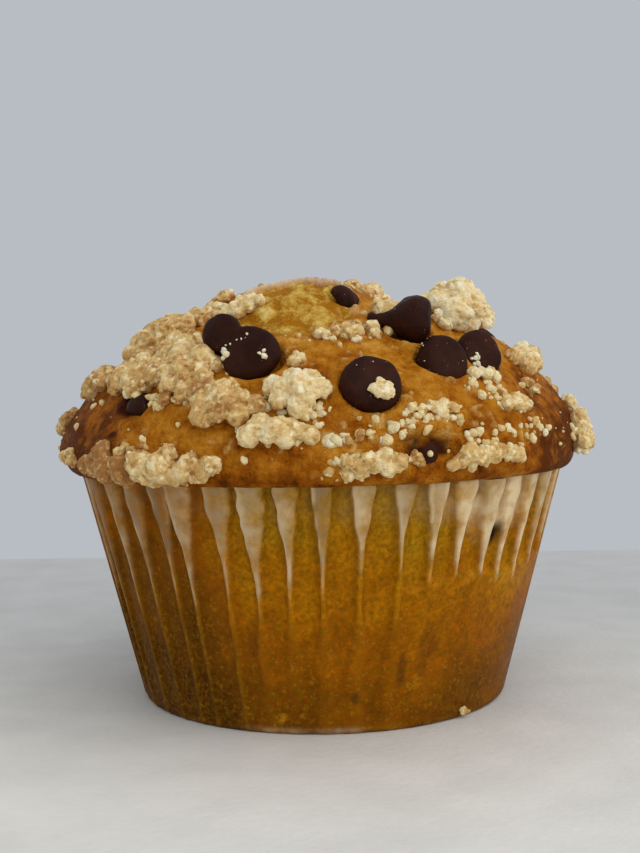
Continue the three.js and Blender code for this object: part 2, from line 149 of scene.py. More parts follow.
def around(radius: Array, bearing: Array, height: Array) -> Array:
    """The place at a radius and a bearing, where 0 is the front and 90 degrees the right."""
    radius, bearing, height = np.broadcast_arrays(radius, bearing, height)
    return np.stack([radius * np.sin(bearing), -radius * np.cos(bearing), height], -1)


def unit(vectors: Array) -> Array:
    """Vectors cut to a length of one."""
    return vectors / np.maximum(np.linalg.norm(vectors, axis=-1, keepdims=True), 1e-12)


# Meshes


@dataclass
class Shape:
    """A closed mesh in the making: places in millimetres, faces and values at the places."""

    points: Array
    quads: Array = field(default_factory=lambda: np.zeros((0, 4), int))
    triangles: Array = field(default_factory=lambda: np.zeros((0, 3), int))
    values: dict[str, Array] = field(default_factory=dict)

    def piece(self, name: str) -> bpy.types.Object:
        """Makes the smooth-shaded object, in metres, with its values as attributes.

        Args:
            name: the object's name.

        Returns:
            The object, linked to the scene.
        """
        mesh = bpy.data.meshes.new(name)
        loops = np.concatenate([self.quads.ravel(), self.triangles.ravel()]).astype(np.int32)
        counts = np.array([4] * len(self.quads) + [3] * len(self.triangles))
        mesh.vertices.add(len(self.points))
        mesh.vertices.foreach_set("co", (self.points * MM).astype(np.float32).ravel())
        mesh.loops.add(len(loops))
        mesh.loops.foreach_set("vertex_index", loops)
        mesh.polygons.add(len(counts))
        starts = np.concatenate([[0], np.cumsum(counts)[:-1]]).astype(np.int32)
        mesh.polygons.foreach_set("loop_start", starts)
        mesh.update(calc_edges=True)
        mesh.polygons.foreach_set("use_smooth", np.ones(len(counts), bool))
        for label, value in self.values.items():
            layer = mesh.attributes.new(label, "FLOAT", "POINT")
            layer.data.foreach_set("value", value.astype(np.float32))
        made = bpy.data.objects.new(name, mesh)
        bpy.context.scene.collection.objects.link(made)
        return made

    def normals(self) -> Array:
        """The outward normal at each place.

        Returns:
            A vector of length one for each place.
        """
        total = np.zeros_like(self.points)
        for faces in (self.quads, self.triangles):
            if len(faces):
                a, b, c = (self.points[faces[:, i]] for i in (0, 1, 2))
                last = self.points[faces[:, -1]]
                normal = np.cross(b - a, c - a) + np.cross(c - a, last - a)
                for i in range(faces.shape[1]):
                    np.add.at(total, faces[:, i], normal)
        return unit(total)


def joined(shapes: Sequence[Shape]) -> Shape:
    """Several shapes as one mesh.

    Args:
        shapes: meshes that all keep the same values.

    Returns:
        One mesh with every face of theirs.
    """
    starts = np.cumsum([0] + [len(shape.points) for shape in shapes])
    return Shape(
        np.concatenate([shape.points for shape in shapes]),
        np.concatenate([shape.quads + start for shape, start in zip(shapes, starts)]),
        np.concatenate([shape.triangles + start for shape, start in zip(shapes, starts)]),
        {label: np.concatenate([shape.values[label] for shape in shapes])
         for label in shapes[0].values},
    )


def lofted(rings: Array, start_hub: Array, end_hub: Array) -> Shape:
    """A closed skin over rings of equal length, from a hub below the first to one past the last.

    Args:
        rings: rows of places, each row once round.
        start_hub: the middle of the first end.
        end_hub: the middle of the last end.

    Returns:
        The closed mesh.
    """
    rows, columns = rings.shape[:2]
    index = np.arange(rows * columns).reshape(rows, columns)
    after = np.roll(index, -1, 1)
    quads = np.stack([index[:-1], after[:-1], after[1:], index[1:]], -1).reshape(-1, 4)
    points = np.concatenate([rings.reshape(-1, 3), [start_hub, end_hub]])
    start = np.full(columns, rows * columns)
    below = np.stack([start, after[0], index[0]], -1)
    above = np.stack([index[-1], after[-1], start + 1], -1)
    return Shape(points, quads, np.concatenate([below, above]))


def ball(level: int) -> Shape:
    """A round ball of radius one, with finer faces at each level.

    Args:
        level: how fine the faces are.

    Returns:
        The ball, made of triangles.
    """
    work = bmesh.new()
    bmesh.ops.create_icosphere(work, subdivisions=level, radius=1)
    points = np.array([vertex.co for vertex in work.verts])
    triangles = np.array([[vertex.index for vertex in face.verts] for face in work.faces])
    work.free()
    return Shape(points, triangles=triangles)


def lumps(centres: Array, radii: Array, rng: np.random.Generator, level: int = 2) -> Shape:
    """Irregular balls, each one stretched and turned by chance.

    Args:
        centres: the middle of each ball.
        radii: the size of each ball.
        rng: where the chances come from.
        level: how fine the faces are.

    Returns:
        All of them as one mesh.
    """
    model = ball(level)
    count, size = len(centres), len(model.points)
    turns, _ = np.linalg.qr(rng.normal(size=(count, 3, 3)))
    stretch = rng.uniform(0.72, 1.25, (count, 1, 3))
    bodies = (model.points[None] * stretch) @ turns * radii[:, None, None] + centres[:, None]
    faces = model.triangles[None] + (np.arange(count) * size)[:, None, None]
    flip = np.linalg.det(turns) < 0
    faces[flip] = faces[flip][..., ::-1]
    return Shape(bodies.reshape(-1, 3), triangles=faces.reshape(-1, 3))


def remeshed(shape: Shape, voxel: float, smoothing: int = 0) -> Shape:
    """Melts overlapping bodies into one closed skin.

    Args:
        shape: the bodies, in millimetres.
        voxel: how fine the new skin is.
        smoothing: how often it is smoothed afterwards.

    Returns:
        The skin, without values.
    """
    rough = Shape(shape.points / MM, shape.quads, shape.triangles).piece("rough")
    modifier = rough.modifiers.new("melt", "REMESH")
    modifier.mode = "VOXEL"
    modifier.voxel_size = voxel
    if smoothing:
        soften = rough.modifiers.new("soften", "SMOOTH")
        soften.iterations = smoothing
    graph = bpy.context.evaluated_depsgraph_get()
    mesh = rough.evaluated_get(graph).to_mesh()
    points = np.zeros(len(mesh.vertices) * 3)
    mesh.vertices.foreach_get("co", points)
    quads = np.zeros(len(mesh.loops), int)
    mesh.loops.foreach_get("vertex_index", quads)
    data = rough.data
    bpy.data.objects.remove(rough)
    bpy.data.meshes.remove(data)
    return Shape(points.reshape(-1, 3), quads.reshape(-1, 4))


# The form that everything sits on


@dataclass(frozen=True)
class Lobe:
    """A swelling of the dome: its place in degrees, its height, its spread and how steep it is."""

    bearing: float
    polar: float
    height: float
    spread: float
    sharpness: float


@dataclass(frozen=True)
class Place:
    """A spot on the crust, with its own directions."""

    point: Array
    out: Array
    right: Array
    uphill: Array

    def at(self, right: float, uphill: float, out: float) -> Array:
        """A point that is so far to the right, uphill and outwards."""
        return self.point + right * self.right + uphill * self.uphill + out * self.out


@dataclass(frozen=True)
class DomeForm:
    """The cake's outer form, from the same sizes as the part."""

    base_radius: float = 25.4
    rim_radius: float = 33.5
    rim_height: float = 31.3
    radius: float = 35.9
    rise: float = 19.8
    power: float = 1.3
    shift: float = -0.9
    lip_height: float = 34.8
    under_lip: float = 31.75
    wall_top: float = 31.45
    wall_base: float = 24.45
    least_polar: float = 1e-3
    ripples: tuple[tuple[float, float, int], ...] = ((0.6, 17, 1), (0.25, 7, 2))
    lobes: tuple[Lobe, ...] = (
        Lobe(-18, 15, 2.9, 8.8, 5),
        Lobe(100, 8, 0.9, 8, 3),
        Lobe(55, 33, 1.2, 9, 2),
        Lobe(28, 64, 0.8, 8, 2),
        Lobe(-28, 60, 0.6, 9, 2),
        Lobe(88, 60, 1.5, 10, 3),
        Lobe(150, 28, 1.4, 9, 2),
        Lobe(-140, 45, 1.2, 9, 2),
    )

    def plain(self, bearing: Array, polar: Array) -> Array:
        """The smooth form at bearings and polar angles in radians.

        Args:
            bearing: bearings in radians, 0 at the front and growing to the right.
            polar: angles from straight up, in radians.

        Returns:
            A place for each pair of angles, in millimetres.
        """
        lip_radius = (self.radius + 0.35 * np.sin(2 * bearing + 0.6)
                      + 0.3 * np.sin(3 * bearing + 2.1) + 0.2 * np.sin(7 * bearing + 1))
        lip = self.lip_height + 0.6 * np.sin(bearing) + 0.3 * np.sin(3 * bearing + 0.9)
        out, up = np.sin(polar), np.cos(polar)
        on_top = polar <= math.pi / 2
        radius = np.where(on_top, lip_radius * out, self.wall_top + (lip_radius - self.wall_top) * out)
        crown = lip + (self.lip_height + self.rise - lip) * np.maximum(up, 0) ** self.power
        height = np.where(on_top, crown, lip + (lip - self.under_lip) * up)
        points = around(radius, bearing, height)
        points[..., 0] += self.shift * np.clip((height - self.under_lip) / 3, 0, 1)
        return points

    def normal(self, bearing: Array, polar: Array) -> Array:
        """The smooth form's outward normal.

        Args:
            bearing: bearings in radians, 0 at the front and growing to the right.
            polar: angles from straight up, in radians.

        Returns:
            A vector of length one for each pair of angles.
        """
        little = 1e-3
        across = self.plain(bearing + little, polar) - self.plain(bearing - little, polar)
        down = self.plain(bearing, polar + little) - self.plain(bearing, np.maximum(polar - little, 0))
        return unit(np.cross(down, across))

    def relief(self, points: Array) -> Array:
        """How far the crust swells beyond the smooth form.

        Args:
            points: places in millimetres, one row each.

        Returns:
            A height for each place, in millimetres.
        """
        height = sum(tall * self.ripple(points, length, seed) for tall, length, seed in self.ripples)
        for lobe in self.lobes:
            centre = self.plain(np.radians(lobe.bearing), np.radians(lobe.polar))
            distance = np.linalg.norm(points - centre, axis=-1) / lobe.spread
            height = height + lobe.height * np.exp(-distance ** lobe.sharpness)
        return height

    @staticmethod
    def ripple(points: Array, length: float, seed: int) -> Array:
        """A wavy value from six crossing waves.

        Args:
            points: places in millimetres, one row each.
            length: about how long the waves are, in millimetres.
            seed: picks one of many patterns.

        Returns:
            A value from -1 to 1 for each place.
        """
        total, waves = 0, 6
        for wave in range(waves):
            turn = GOLDEN_ANGLE * (wave + seed)
            up = 1 - 2 * evenly(wave, seed)
            flat = math.sqrt(1 - up * up)
            along = points @ np.array([flat * math.cos(turn), flat * math.sin(turn), up])
            total = total + np.sin(along * 2 * math.pi / (length * (0.8 + 0.08 * wave)) + turn * 1.7 + seed)
        return total / waves

    def crust(self, bearing: Array, polar: Array, lift: Array | float = 0) -> Array:
        """A place on the crust, or lifted off it.

        Args:
            bearing: bearings in radians, 0 at the front and growing to the right.
            polar: angles from straight up, in radians.
            lift: how far off the crust, in millimetres.

        Returns:
            A place for each pair of angles, in millimetres.
        """
        bearing, polar = np.asarray(bearing, float), np.maximum(np.asarray(polar, float), self.least_polar)
        points = self.plain(bearing, polar)
        fade = np.clip((math.radians(130) - polar) / math.radians(50), 0, 1)
        rise = self.relief(points) * fade + lift
        return points + self.normal(bearing, polar) * np.asarray(rise)[..., None]

    def place(self, bearing: float, polar: float, lift: float = 0) -> Place:
        """A spot given in degrees, with its directions.

        Args:
            bearing: degrees from the front, growing to the right.
            polar: degrees from straight up.
            lift: how far off the crust, in millimetres.

        Returns:
            The spot on the crust.
        """
        turn, tip = math.radians(bearing), math.radians(polar)
        out = self.normal(np.asarray(turn), np.asarray(tip))
        right = np.array([math.cos(turn), math.sin(turn), 0])
        return Place(self.crust(turn, tip, lift), out, right, unit(np.cross(out, right)))


# Shader graphs

Value = float | Sequence[float] | bpy.types.NodeSocket


class Graph:
    """The nodes of one material or group, with short ways to add the kinds this muffin needs."""

    def __init__(self, tree: bpy.types.NodeTree) -> None:
        """Starts with no nodes in the tree."""
        self.tree = tree
        tree.nodes.clear()

    def node(self, kind: str, inputs: dict[str | int, Value], **settings: object) -> bpy.types.Node:
        """Adds a node, sets it up, and links or fills its inputs.

        Args:
            kind: Blender's name for the node.
            inputs: a value or another node's output for each named or numbered input.
            settings: the node's own settings.

        Returns:
            The new node.
        """
        made = self.tree.nodes.new(kind)
        for name, setting in settings.items():
            setattr(made, name, setting)
        for name, value in inputs.items():
            if isinstance(value, bpy.types.NodeSocket):
                self.tree.links.new(value, made.inputs[name])
            else:
                made.inputs[name].default_value = value
        return made

    def value(self, name: str) -> bpy.types.NodeSocket:
        """The value that the mesh keeps under a name."""
        return self.node("ShaderNodeAttribute", {}, attribute_name=name).outputs["Fac"]

    def math(self, operation: str, first: Value, second: Value = 0.0) -> bpy.types.NodeSocket:
        """A sum of one or two values."""
        return self.node("ShaderNodeMath", {0: first, 1: second}, operation=operation).outputs[0]

    def plus(self, first: Value, second: Value) -> bpy.types.NodeSocket:
        """Two values added up."""
        return self.math("ADD", first, second)

    def times(self, first: Value, second: Value) -> bpy.types.NodeSocket:
        """Two values multiplied."""
        return self.math("MULTIPLY", first, second)

    def grey(self, value: Value) -> bpy.types.NodeSocket:
        """A value as a colour."""
        return self.node("ShaderNodeCombineXYZ", {0: value, 1: value, 2: value}).outputs[0]

    def mix(self, share: Value, first: Value, second: Value, blend: str = "MIX") -> bpy.types.NodeSocket:
        """Two colours mixed.

        Args:
            share: how much of the second colour shows.
            first: the colour below.
            second: the colour above.
            blend: how they are put together.

        Returns:
            The mixed colour.
        """
        colours = {6: first, 7: second}
        for key, value in colours.items():
            if not isinstance(value, bpy.types.NodeSocket):
                colours[key] = (*value[:3], 1)
        made = self.node("ShaderNodeMix", {0: share, **colours}, data_type="RGBA", blend_type=blend)
        return made.outputs[2]

    def spread(self, value: Value, low: float, high: float, first: float = 0, last: float = 1
               ) -> bpy.types.NodeSocket:
        """A value stretched from low and high to first and last."""
        return self.node("ShaderNodeMapRange", {0: value, 1: low, 2: high, 3: first, 4: last}).outputs[0]

    def cloud(self, value: Value, first: float, last: float) -> bpy.types.NodeSocket:
        """The usual reach of a noise stretched to first and last."""
        return self.spread(value, 0.3, 0.7, first, last)

    def ramp(self, value: Value, stops: Sequence[tuple[float, Colour]]) -> bpy.types.NodeSocket:
        """A colour that runs through the stops.

        Args:
            value: where along the stops to look.
            stops: positions and their colours, in order.

        Returns:
            The colour found there.
        """
        made = self.node("ShaderNodeValToRGB", {0: value})
        elements = made.color_ramp.elements
        while len(elements) < len(stops):
            elements.new(1)
        for element, (position, colour) in zip(elements, stops):
            element.position = position
            element.color = (*colour, 1)
        return made.outputs[0]

    def noise(self, size: float, seed: float, detail: float = 3, roughness: float = 0.55
              ) -> bpy.types.NodeSocket:
        """Cloudy noise, with bumps of a size in millimetres.

        Args:
            size: the width of a bump.
            seed: picks one of many patterns.
            detail: how many finer layers are added.
            roughness: how strong the finer layers are.

        Returns:
            The noise, from 0 to 1.
        """
        place = self.node("ShaderNodeTexCoord", {}).outputs["Object"]
        inputs = {"Vector": place, "W": seed, "Scale": 1 / (size * MM), "Detail": detail,
                  "Roughness": roughness}
        return self.node("ShaderNodeTexNoise", inputs, noise_dimensions="4D").outputs[0]

    def group(self, group: bpy.types.NodeTree, **inputs: Value) -> bpy.types.Node:
        """Places a shared effect with its own values."""
        named = {name.capitalize(): value for name, value in inputs.items()}
        return self.node("ShaderNodeGroup", named, node_tree=group)

    def finish(self, colour: bpy.types.NodeSocket, roughness: Value, height: Value, depth: float,
               **constants: Value) -> None:
        """Ends the material in one Principled shader with a bump of a depth in millimetres.

        Args:
            colour: the base colour.
            roughness: from 0 for a mirror to 1 for chalk.
            height: what the bump follows.
            depth: how deep the bump is.
            constants: the shader's other inputs, with _ for a space.
        """
        bump = self.node("ShaderNodeBump", {"Height": height, "Strength": 1.0, "Distance": depth * MM})
        inputs = {"Base Color": colour, "Roughness": roughness, "Normal": bump.outputs[0]}
        inputs.update({name.replace("_", " "): value for name, value in constants.items()})
        shader = self.node("ShaderNodeBsdfPrincipled", inputs)
        self.node("ShaderNodeOutputMaterial", {"Surface": shader.outputs[0]})


class SharedEffects:
    """Effects that several finishes use, each one built once."""

    def __init__(self) -> None:
        """Builds the crumb grain group."""
        self.grain = self.crumb_grain()

    @staticmethod
    def crumb_grain() -> bpy.types.NodeTree:
        """Baked crumb: a soft mottle, small bright specks and the height of its cells.

        Returns:
            A group with the inputs Size, in millimetres, and Seed.
        """
        tree = bpy.data.node_groups.new("crumb_grain", "ShaderNodeTree")
        for name in ("Size", "Seed"):
            tree.interface.new_socket(name, in_out="INPUT", socket_type="NodeSocketFloat")
        for name in ("Mottle", "Specks", "Relief"):
            tree.interface.new_socket(name, in_out="OUTPUT", socket_type="NodeSocketFloat")
        graph = Graph(tree)
        given = graph.node("NodeGroupInput", {})
        scale = graph.math("DIVIDE", 1 / MM, given.outputs["Size"])
        place = graph.node("ShaderNodeTexCoord", {}).outputs["Object"]
        cloud = {"Vector": place, "W": given.outputs["Seed"], "Detail": 4.0, "Roughness": 0.6}
        mottle = graph.node("ShaderNodeTexNoise", {**cloud, "Scale": scale}, noise_dimensions="4D").outputs[0]
        fine = graph.times(scale, 3.1)
        cells = graph.node("ShaderNodeTexVoronoi", {"Vector": place, "Scale": fine, "Randomness": 1.0},
                           feature="SMOOTH_F1")
        specks = graph.spread(cells.outputs["Distance"], 0.32, 0.08)
        relief = graph.plus(graph.times(mottle, 0.6), graph.times(cells.outputs["Distance"], -0.5))
        graph.node("NodeGroupOutput", {"Mottle": mottle, "Specks": specks, "Relief": relief})
        return tree


def new_graph(name: str) -> tuple[bpy.types.Material, Graph]:
    """An empty material and its graph.

    Args:
        name: the material's name.

    Returns:
        The material and the graph of its nodes.
    """
    material = bpy.data.materials.new(name)
    material.use_nodes = True
    return material, Graph(material.node_tree)


# Finishes


@dataclass(frozen=True)
class CrustFinish:
    """Baked crust: gold where it is pale, brown where it is toasted or has painted shade at the left, and
    yellow crumb where torn.
    """

    pale: Colour = tone(205, 146, 58)
    gold: Colour = tone(182, 116, 26)
    brown: Colour = tone(148, 80, 8)
    dark: Colour = tone(92, 44, 4)
    dust: Colour = tone(212, 168, 94)
    torn_light: Colour = tone(240, 216, 148)
    torn_middle: Colour = tone(212, 174, 80)
    torn_deep: Colour = tone(168, 108, 18)
    torn_edge: Colour = tone(222, 192, 156)
    melted: Colour = tone(48, 16, 8)

    def material(self, effects: SharedEffects) -> bpy.types.Material:
        """Builds the crust's material.

        Args:
            effects: the shared shader groups.

        Returns:
            The material, which reads the mesh values toast, torn, depth, edge, stain and dusting.
        """
        material, graph = new_graph("baked_crust")
        coarse = graph.group(effects.grain, size=2.6, seed=1.0).outputs
        fine = graph.group(effects.grain, size=0.8, seed=2.0).outputs
        toast = graph.plus(graph.value("toast"), graph.cloud(coarse["Mottle"], -0.28, 0.28))
        toast = graph.plus(toast, graph.cloud(fine["Mottle"], -0.16, 0.16))
        colour = graph.ramp(toast, [(0, self.pale), (0.35, self.gold), (0.68, self.brown), (1, self.dark)])
        depth = graph.plus(graph.times(fine["Mottle"], 0.6), graph.times(graph.noise(3.4, 17.0), 0.8))
        depth = graph.plus(depth, graph.times(graph.value("depth"), 0.3))
        crumb = graph.ramp(depth, [(0.5, self.torn_deep), (0.7, self.torn_middle), (0.95, self.torn_light)])
        share = graph.times(graph.value("dusting"), graph.spread(fine["Mottle"], 0.4, 0.6, 0.2, 0.85))
        colour = graph.mix(share, colour, self.dust)
        for mark, tint in (("torn", crumb), ("edge", self.torn_edge), ("stain", self.melted)):
            colour = graph.mix(graph.value(mark), colour, tint)
        roughness = graph.cloud(fine["Mottle"], 0.5, 0.7)
        height = graph.plus(fine["Relief"], graph.times(coarse["Relief"], 1.5))
        graph.finish(colour, roughness, height, 0.42, Specular_IOR_Level=0.03,
                     Subsurface_Weight=0.12, Subsurface_Radius=(1.0, 0.5, 0.2), Subsurface_Scale=1.0 * MM)
        return material


@dataclass(frozen=True)
class PaperFinish:
    """Greased baking paper: dark where it clings to the cake, pale where it stands away, with painted light
    and shade on its folds and at the left.
    """

    olive: Colour = tone(170, 126, 14)
    gold: Colour = tone(176, 108, 0)
    brown: Colour = tone(150, 80, 0)
    low: Colour = tone(112, 60, 2)
    shaded: Colour = tone(72, 36, 2)
    crumb_dark: Colour = tone(112, 78, 4)
    clear: Colour = tone(228, 202, 158)
    clear_dim: Colour = tone(138, 110, 80)
    gleam: Colour = tone(236, 210, 166)
    spot: Colour = tone(30, 20, 16)
    smear: Colour = tone(200, 140, 26)

    def material(self, effects: SharedEffects) -> bpy.types.Material:
        """Builds the paper's material, which reads the mesh values of its skin.

        Args:
            effects: the shared shader groups.

        Returns:
            The material.
        """
        material, graph = new_graph("greased_baking_paper")
        grain = graph.group(effects.grain, size=1.1, seed=4.0).outputs
        fine = graph.group(effects.grain, size=0.55, seed=5.0).outputs
        warm = graph.plus(graph.value("height"), graph.cloud(graph.noise(7, 6.0, 2), -0.16, 0.16))
        # Painted shade: the left side, away from the light, is pulled down towards the shaded tones, and the
        # right is darker from baking.
        warm = graph.plus(warm, graph.times(graph.value("baked"), -0.56))
        tones = [(0.1, self.shaded), (0.36, self.low), (0.54, self.brown), (0.75, self.gold),
                 (0.96, self.olive)]
        under = graph.ramp(graph.spread(warm, -0.5, 1.0), tones)
        under = graph.mix(graph.spread(fine["Mottle"], 0.42, 0.6, 0, 0.6), under, self.crumb_dark)
        under = graph.mix(graph.spread(graph.noise(0.45, 33.0, 2), 0.56, 0.68, 0, 0.25), under, self.smear)
        mottle = graph.grey(graph.spread(grain["Mottle"], 0.25, 0.75, 0.7, 1.34))
        under = graph.mix(1.0, under, mottle, "MULTIPLY")
        smear = graph.times(graph.value("smear"), graph.spread(grain["Mottle"], 0.35, 0.6))
        # ridge is a painted highlight and fold a painted shade; the specks, smears and spots are the paper's
        # own marks.
        for share, tint in ((graph.times(fine["Specks"], 0.14), self.smear),
                            (graph.times(graph.value("ridge"), 0.34), self.smear),
                            (graph.times(graph.value("fold"), 0.3), self.low),
                            (smear, self.smear), (graph.value("spot"), self.spot)):
            under = graph.mix(share, under, tint)
        wet = graph.spread(graph.noise(2.1, 31.0, 3), 0.38, 0.56, 0.45, 1)
        # Painted light: each pale face runs from a shaded to a lit copy of one colour, fold by fold.
        pale = graph.mix(graph.value("folded"), self.clear_dim, self.clear)
        colour = graph.mix(graph.times(graph.value("away"), wet), under, pale)
        colour = graph.mix(graph.value("gleam"), colour, self.gleam)
        roughness = graph.cloud(graph.noise(3, 8.0), 0.36, 0.52)
        graph.finish(colour, roughness, fine["Relief"], 0.05, Specular_IOR_Level=0.035)
        return material


@dataclass(frozen=True)
class ChocolateFinish:
    """Dark chocolate with a dull baked skin and a little bloom."""

    dark: Colour = tone(40, 17, 10)
    light: Colour = tone(60, 30, 18)
    bloom: Colour = tone(140, 110, 95)

    def material(self, effects: SharedEffects) -> bpy.types.Material:
        """Builds the chocolate's material.

        Args:
            effects: the shared shader groups.

        Returns:
            The material.
        """
        material, graph = new_graph("baked_chocolate")
        fine = graph.group(effects.grain, size=0.7, seed=9.0)
        cloud = graph.spread(graph.noise(3.2, 3.0), 0.35, 0.7)
        colour = graph.mix(cloud, self.dark, self.light)
        specks = graph.math("GREATER_THAN", graph.noise(0.45, 5.0, 2), 0.7)
        colour = graph.mix(graph.times(specks, 0.55), colour, self.bloom)
        roughness = graph.cloud(graph.noise(1.6, 7.0), 0.42, 0.6)
        graph.finish(colour, roughness, fine.outputs["Relief"], 0.14, Specular_IOR_Level=0.06)
        return material


@dataclass(frozen=True)
class StreuselFinish:
    """Buttery crumbs with sugar: cream on the outside, gold and tan where toasted and, as painted shade,
    between grains and nuggets.
    """

    white: Colour = tone(255, 240, 204)
    cream: Colour = tone(242, 216, 160)
    gold: Colour = tone(218, 178, 110)
    tan: Colour = tone(168, 114, 58)

    def material(self, effects: SharedEffects) -> bpy.types.Material:
        """Builds the streusel's material, which reads the mesh value toast.

        Args:
            effects: the shared shader groups.

        Returns:
            The material.
        """
        material, graph = new_graph("streusel_crumb")
        fine = graph.group(effects.grain, size=0.5, seed=12.0).outputs
        toast = graph.plus(graph.value("toast"), graph.cloud(fine["Mottle"], -0.14, 0.14))
        toast = graph.plus(toast, graph.cloud(graph.noise(1.6, 14.0, 2), -0.1, 0.1))
        tones = [(0, self.white), (0.4, self.cream), (0.66, self.gold), (1, self.tan)]
        colour = graph.ramp(graph.spread(toast, -0.25, 1), tones)
        roughness = graph.cloud(fine["Mottle"], 0.4, 0.65)
        graph.finish(colour, roughness, fine["Relief"], 0.3, Specular_IOR_Level=0.22,
                     Subsurface_Weight=0.3, Subsurface_Radius=(1.0, 0.7, 0.4), Subsurface_Scale=0.9 * MM)
        return material


@dataclass(frozen=True)
class Finishes:
    """The four materials, each one made once."""

    crust: bpy.types.Material
    paper: bpy.types.Material
    chocolate: bpy.types.Material
    streusel: bpy.types.Material

    @classmethod
    def made(cls) -> Finishes:
        """Builds all of them around the same shared effects.

        Returns:
            The four materials.
        """
        effects = SharedEffects()
        makers = (CrustFinish(), PaperFinish(), ChocolateFinish(), StreuselFinish())
        return cls(*(maker.material(effects) for maker in makers))


def dress(piece: bpy.types.Object, material: bpy.types.Material, slot: Slot, *nodes: str) -> None:
    """Gives a piece its finish and its body, and hides the solids that it stands for.

    Args:
        piece: the object.
        material: its finish.
        slot: the record's slot for that finish; not used.
        nodes: the solids that it stands for, if any.
    """
    piece.data.materials.append(material)
    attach(piece, "root")
    if nodes:
        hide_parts(*nodes)
    LOG.info("%s: %d faces", piece.name, len(piece.data.polygons))


# Chocolate chips


@dataclass(frozen=True)
class Chip:
    """A chip in the crust: its place in degrees, its size, and how its tip leans."""

    name: str
    bearing: float
    polar: float
    radius: float
    lift: float
    tilt: float
    lean: float

    def place(self, form: DomeForm) -> Place:
        """Its spot on the cake."""
        return form.place(self.bearing, self.polar, self.lift)

    def axis(self, place: Place) -> Array:
        """The way the tip points.

        Args:
            place: the chip's spot on the cake.

        Returns:
            A vector of length one.
        """
        turn, lean = math.radians(self.tilt), math.radians(self.lean)
        sideways = place.uphill * math.cos(turn) + place.right * math.sin(turn)
        return place.out * math.cos(lean) + sideways * math.sin(lean)


OUTLINE = ((0, -0.5), (0.45, -0.55), (0.78, -0.53), (0.93, -0.41), (0.985, -0.18), (0.95, 0.12),
           (0.76, 0.44), (0.42, 0.74), (0.2, 0.9), (0, 1))
KISS_OUTLINE = ((0, -0.72), (0.4, -0.74), (0.78, -0.68), (0.98, -0.42), (1, -0.12), (0.88, 0.22),
                (0.62, 0.56), (0.38, 0.84), (0.24, 1.12), (0, 1.2))
# The curled end of the top chip: along its axis, to the side, and the size
CURL = ((0.95, 0.0, 0.28), (1.15, -0.02, 0.24), (1.33, -0.02, 0.21), (1.5, 0.04, 0.2), (1.58, 0.16, 0.21))
CHIPS = (
    Chip("top", 31, 39.8, 3.15, 1.7, 302, 104),
    Chip("right_front", 33, 52.5, 3.35, 0.3, 0, 140),
    Chip("right_back", 47.6, 50.3, 3.1, 0.3, 30, 142),
    Chip("behind_crag", 17.5, 21.5, 2.3, -0.9, 90, 80),
    Chip("sunken_left", -41, 64, 3.0, -2.2, 0, 90),
    Chip("under_lip", 22.5, 93, 3.0, -2.95, 90, 60),
    Chip("back_right", 112, 47, 3.8, 0.3, 30, 170),
    Chip("back_middle", 168, 58, 3.9, 0.4, 150, 30),
    Chip("back_high", -168, 24, 3.6, 0.3, 250, 165),
    Chip("back_left", -124, 63, 3.8, 0.3, 80, 168),
    Chip("left_high", -100, 44, 3.4, -0.8, 10, 40),
)
FRONT_CHIP = Chip("front", 12, 61.5, 3.75, 0.1, 0, 172)
MELTED_PAIR = Chip("pair", -20, 46.6, 3.0, 1.35, 0, 150)
# The pair's lobes and its neck, along a line that runs down to the right: how far along and how wide
PAIR_LOBES = ((-2.3, 2.6), (0.2, 2.1), (3.2, 3.65))
PAIR_ROLL = 38
PAIR_HOLLOWS = (Chip("pair_high", -26, 43, 2.7, 0.3, 0, 0), Chip("pair_low", -13.5, 50.2, 3.3, 0.3, 0, 0))
# Sugar that stuck to a chip: the chip, bearing, polar, how many grains, their size, how far they spread
FLECKS = (
    ("pair", -18, 47, 13, 0.13, 1.6), ("pair", -20.5, 51.5, 4, 0.42, 1.1), ("pair", -11.5, 52, 3, 0.36, 0.6),
    ("front", 15, 68, 4, 0.26, 1.4), ("front", 10, 57, 6, 0.08, 4), ("right_front", 33, 49, 6, 0.08, 4),
    ("right_back", 43, 56, 8, 0.3, 1.5), ("top", 32, 39, 5, 0.09, 4), ("pair", -24, 41, 5, 0.07, 4),
)
TOP_CHIP = "top"


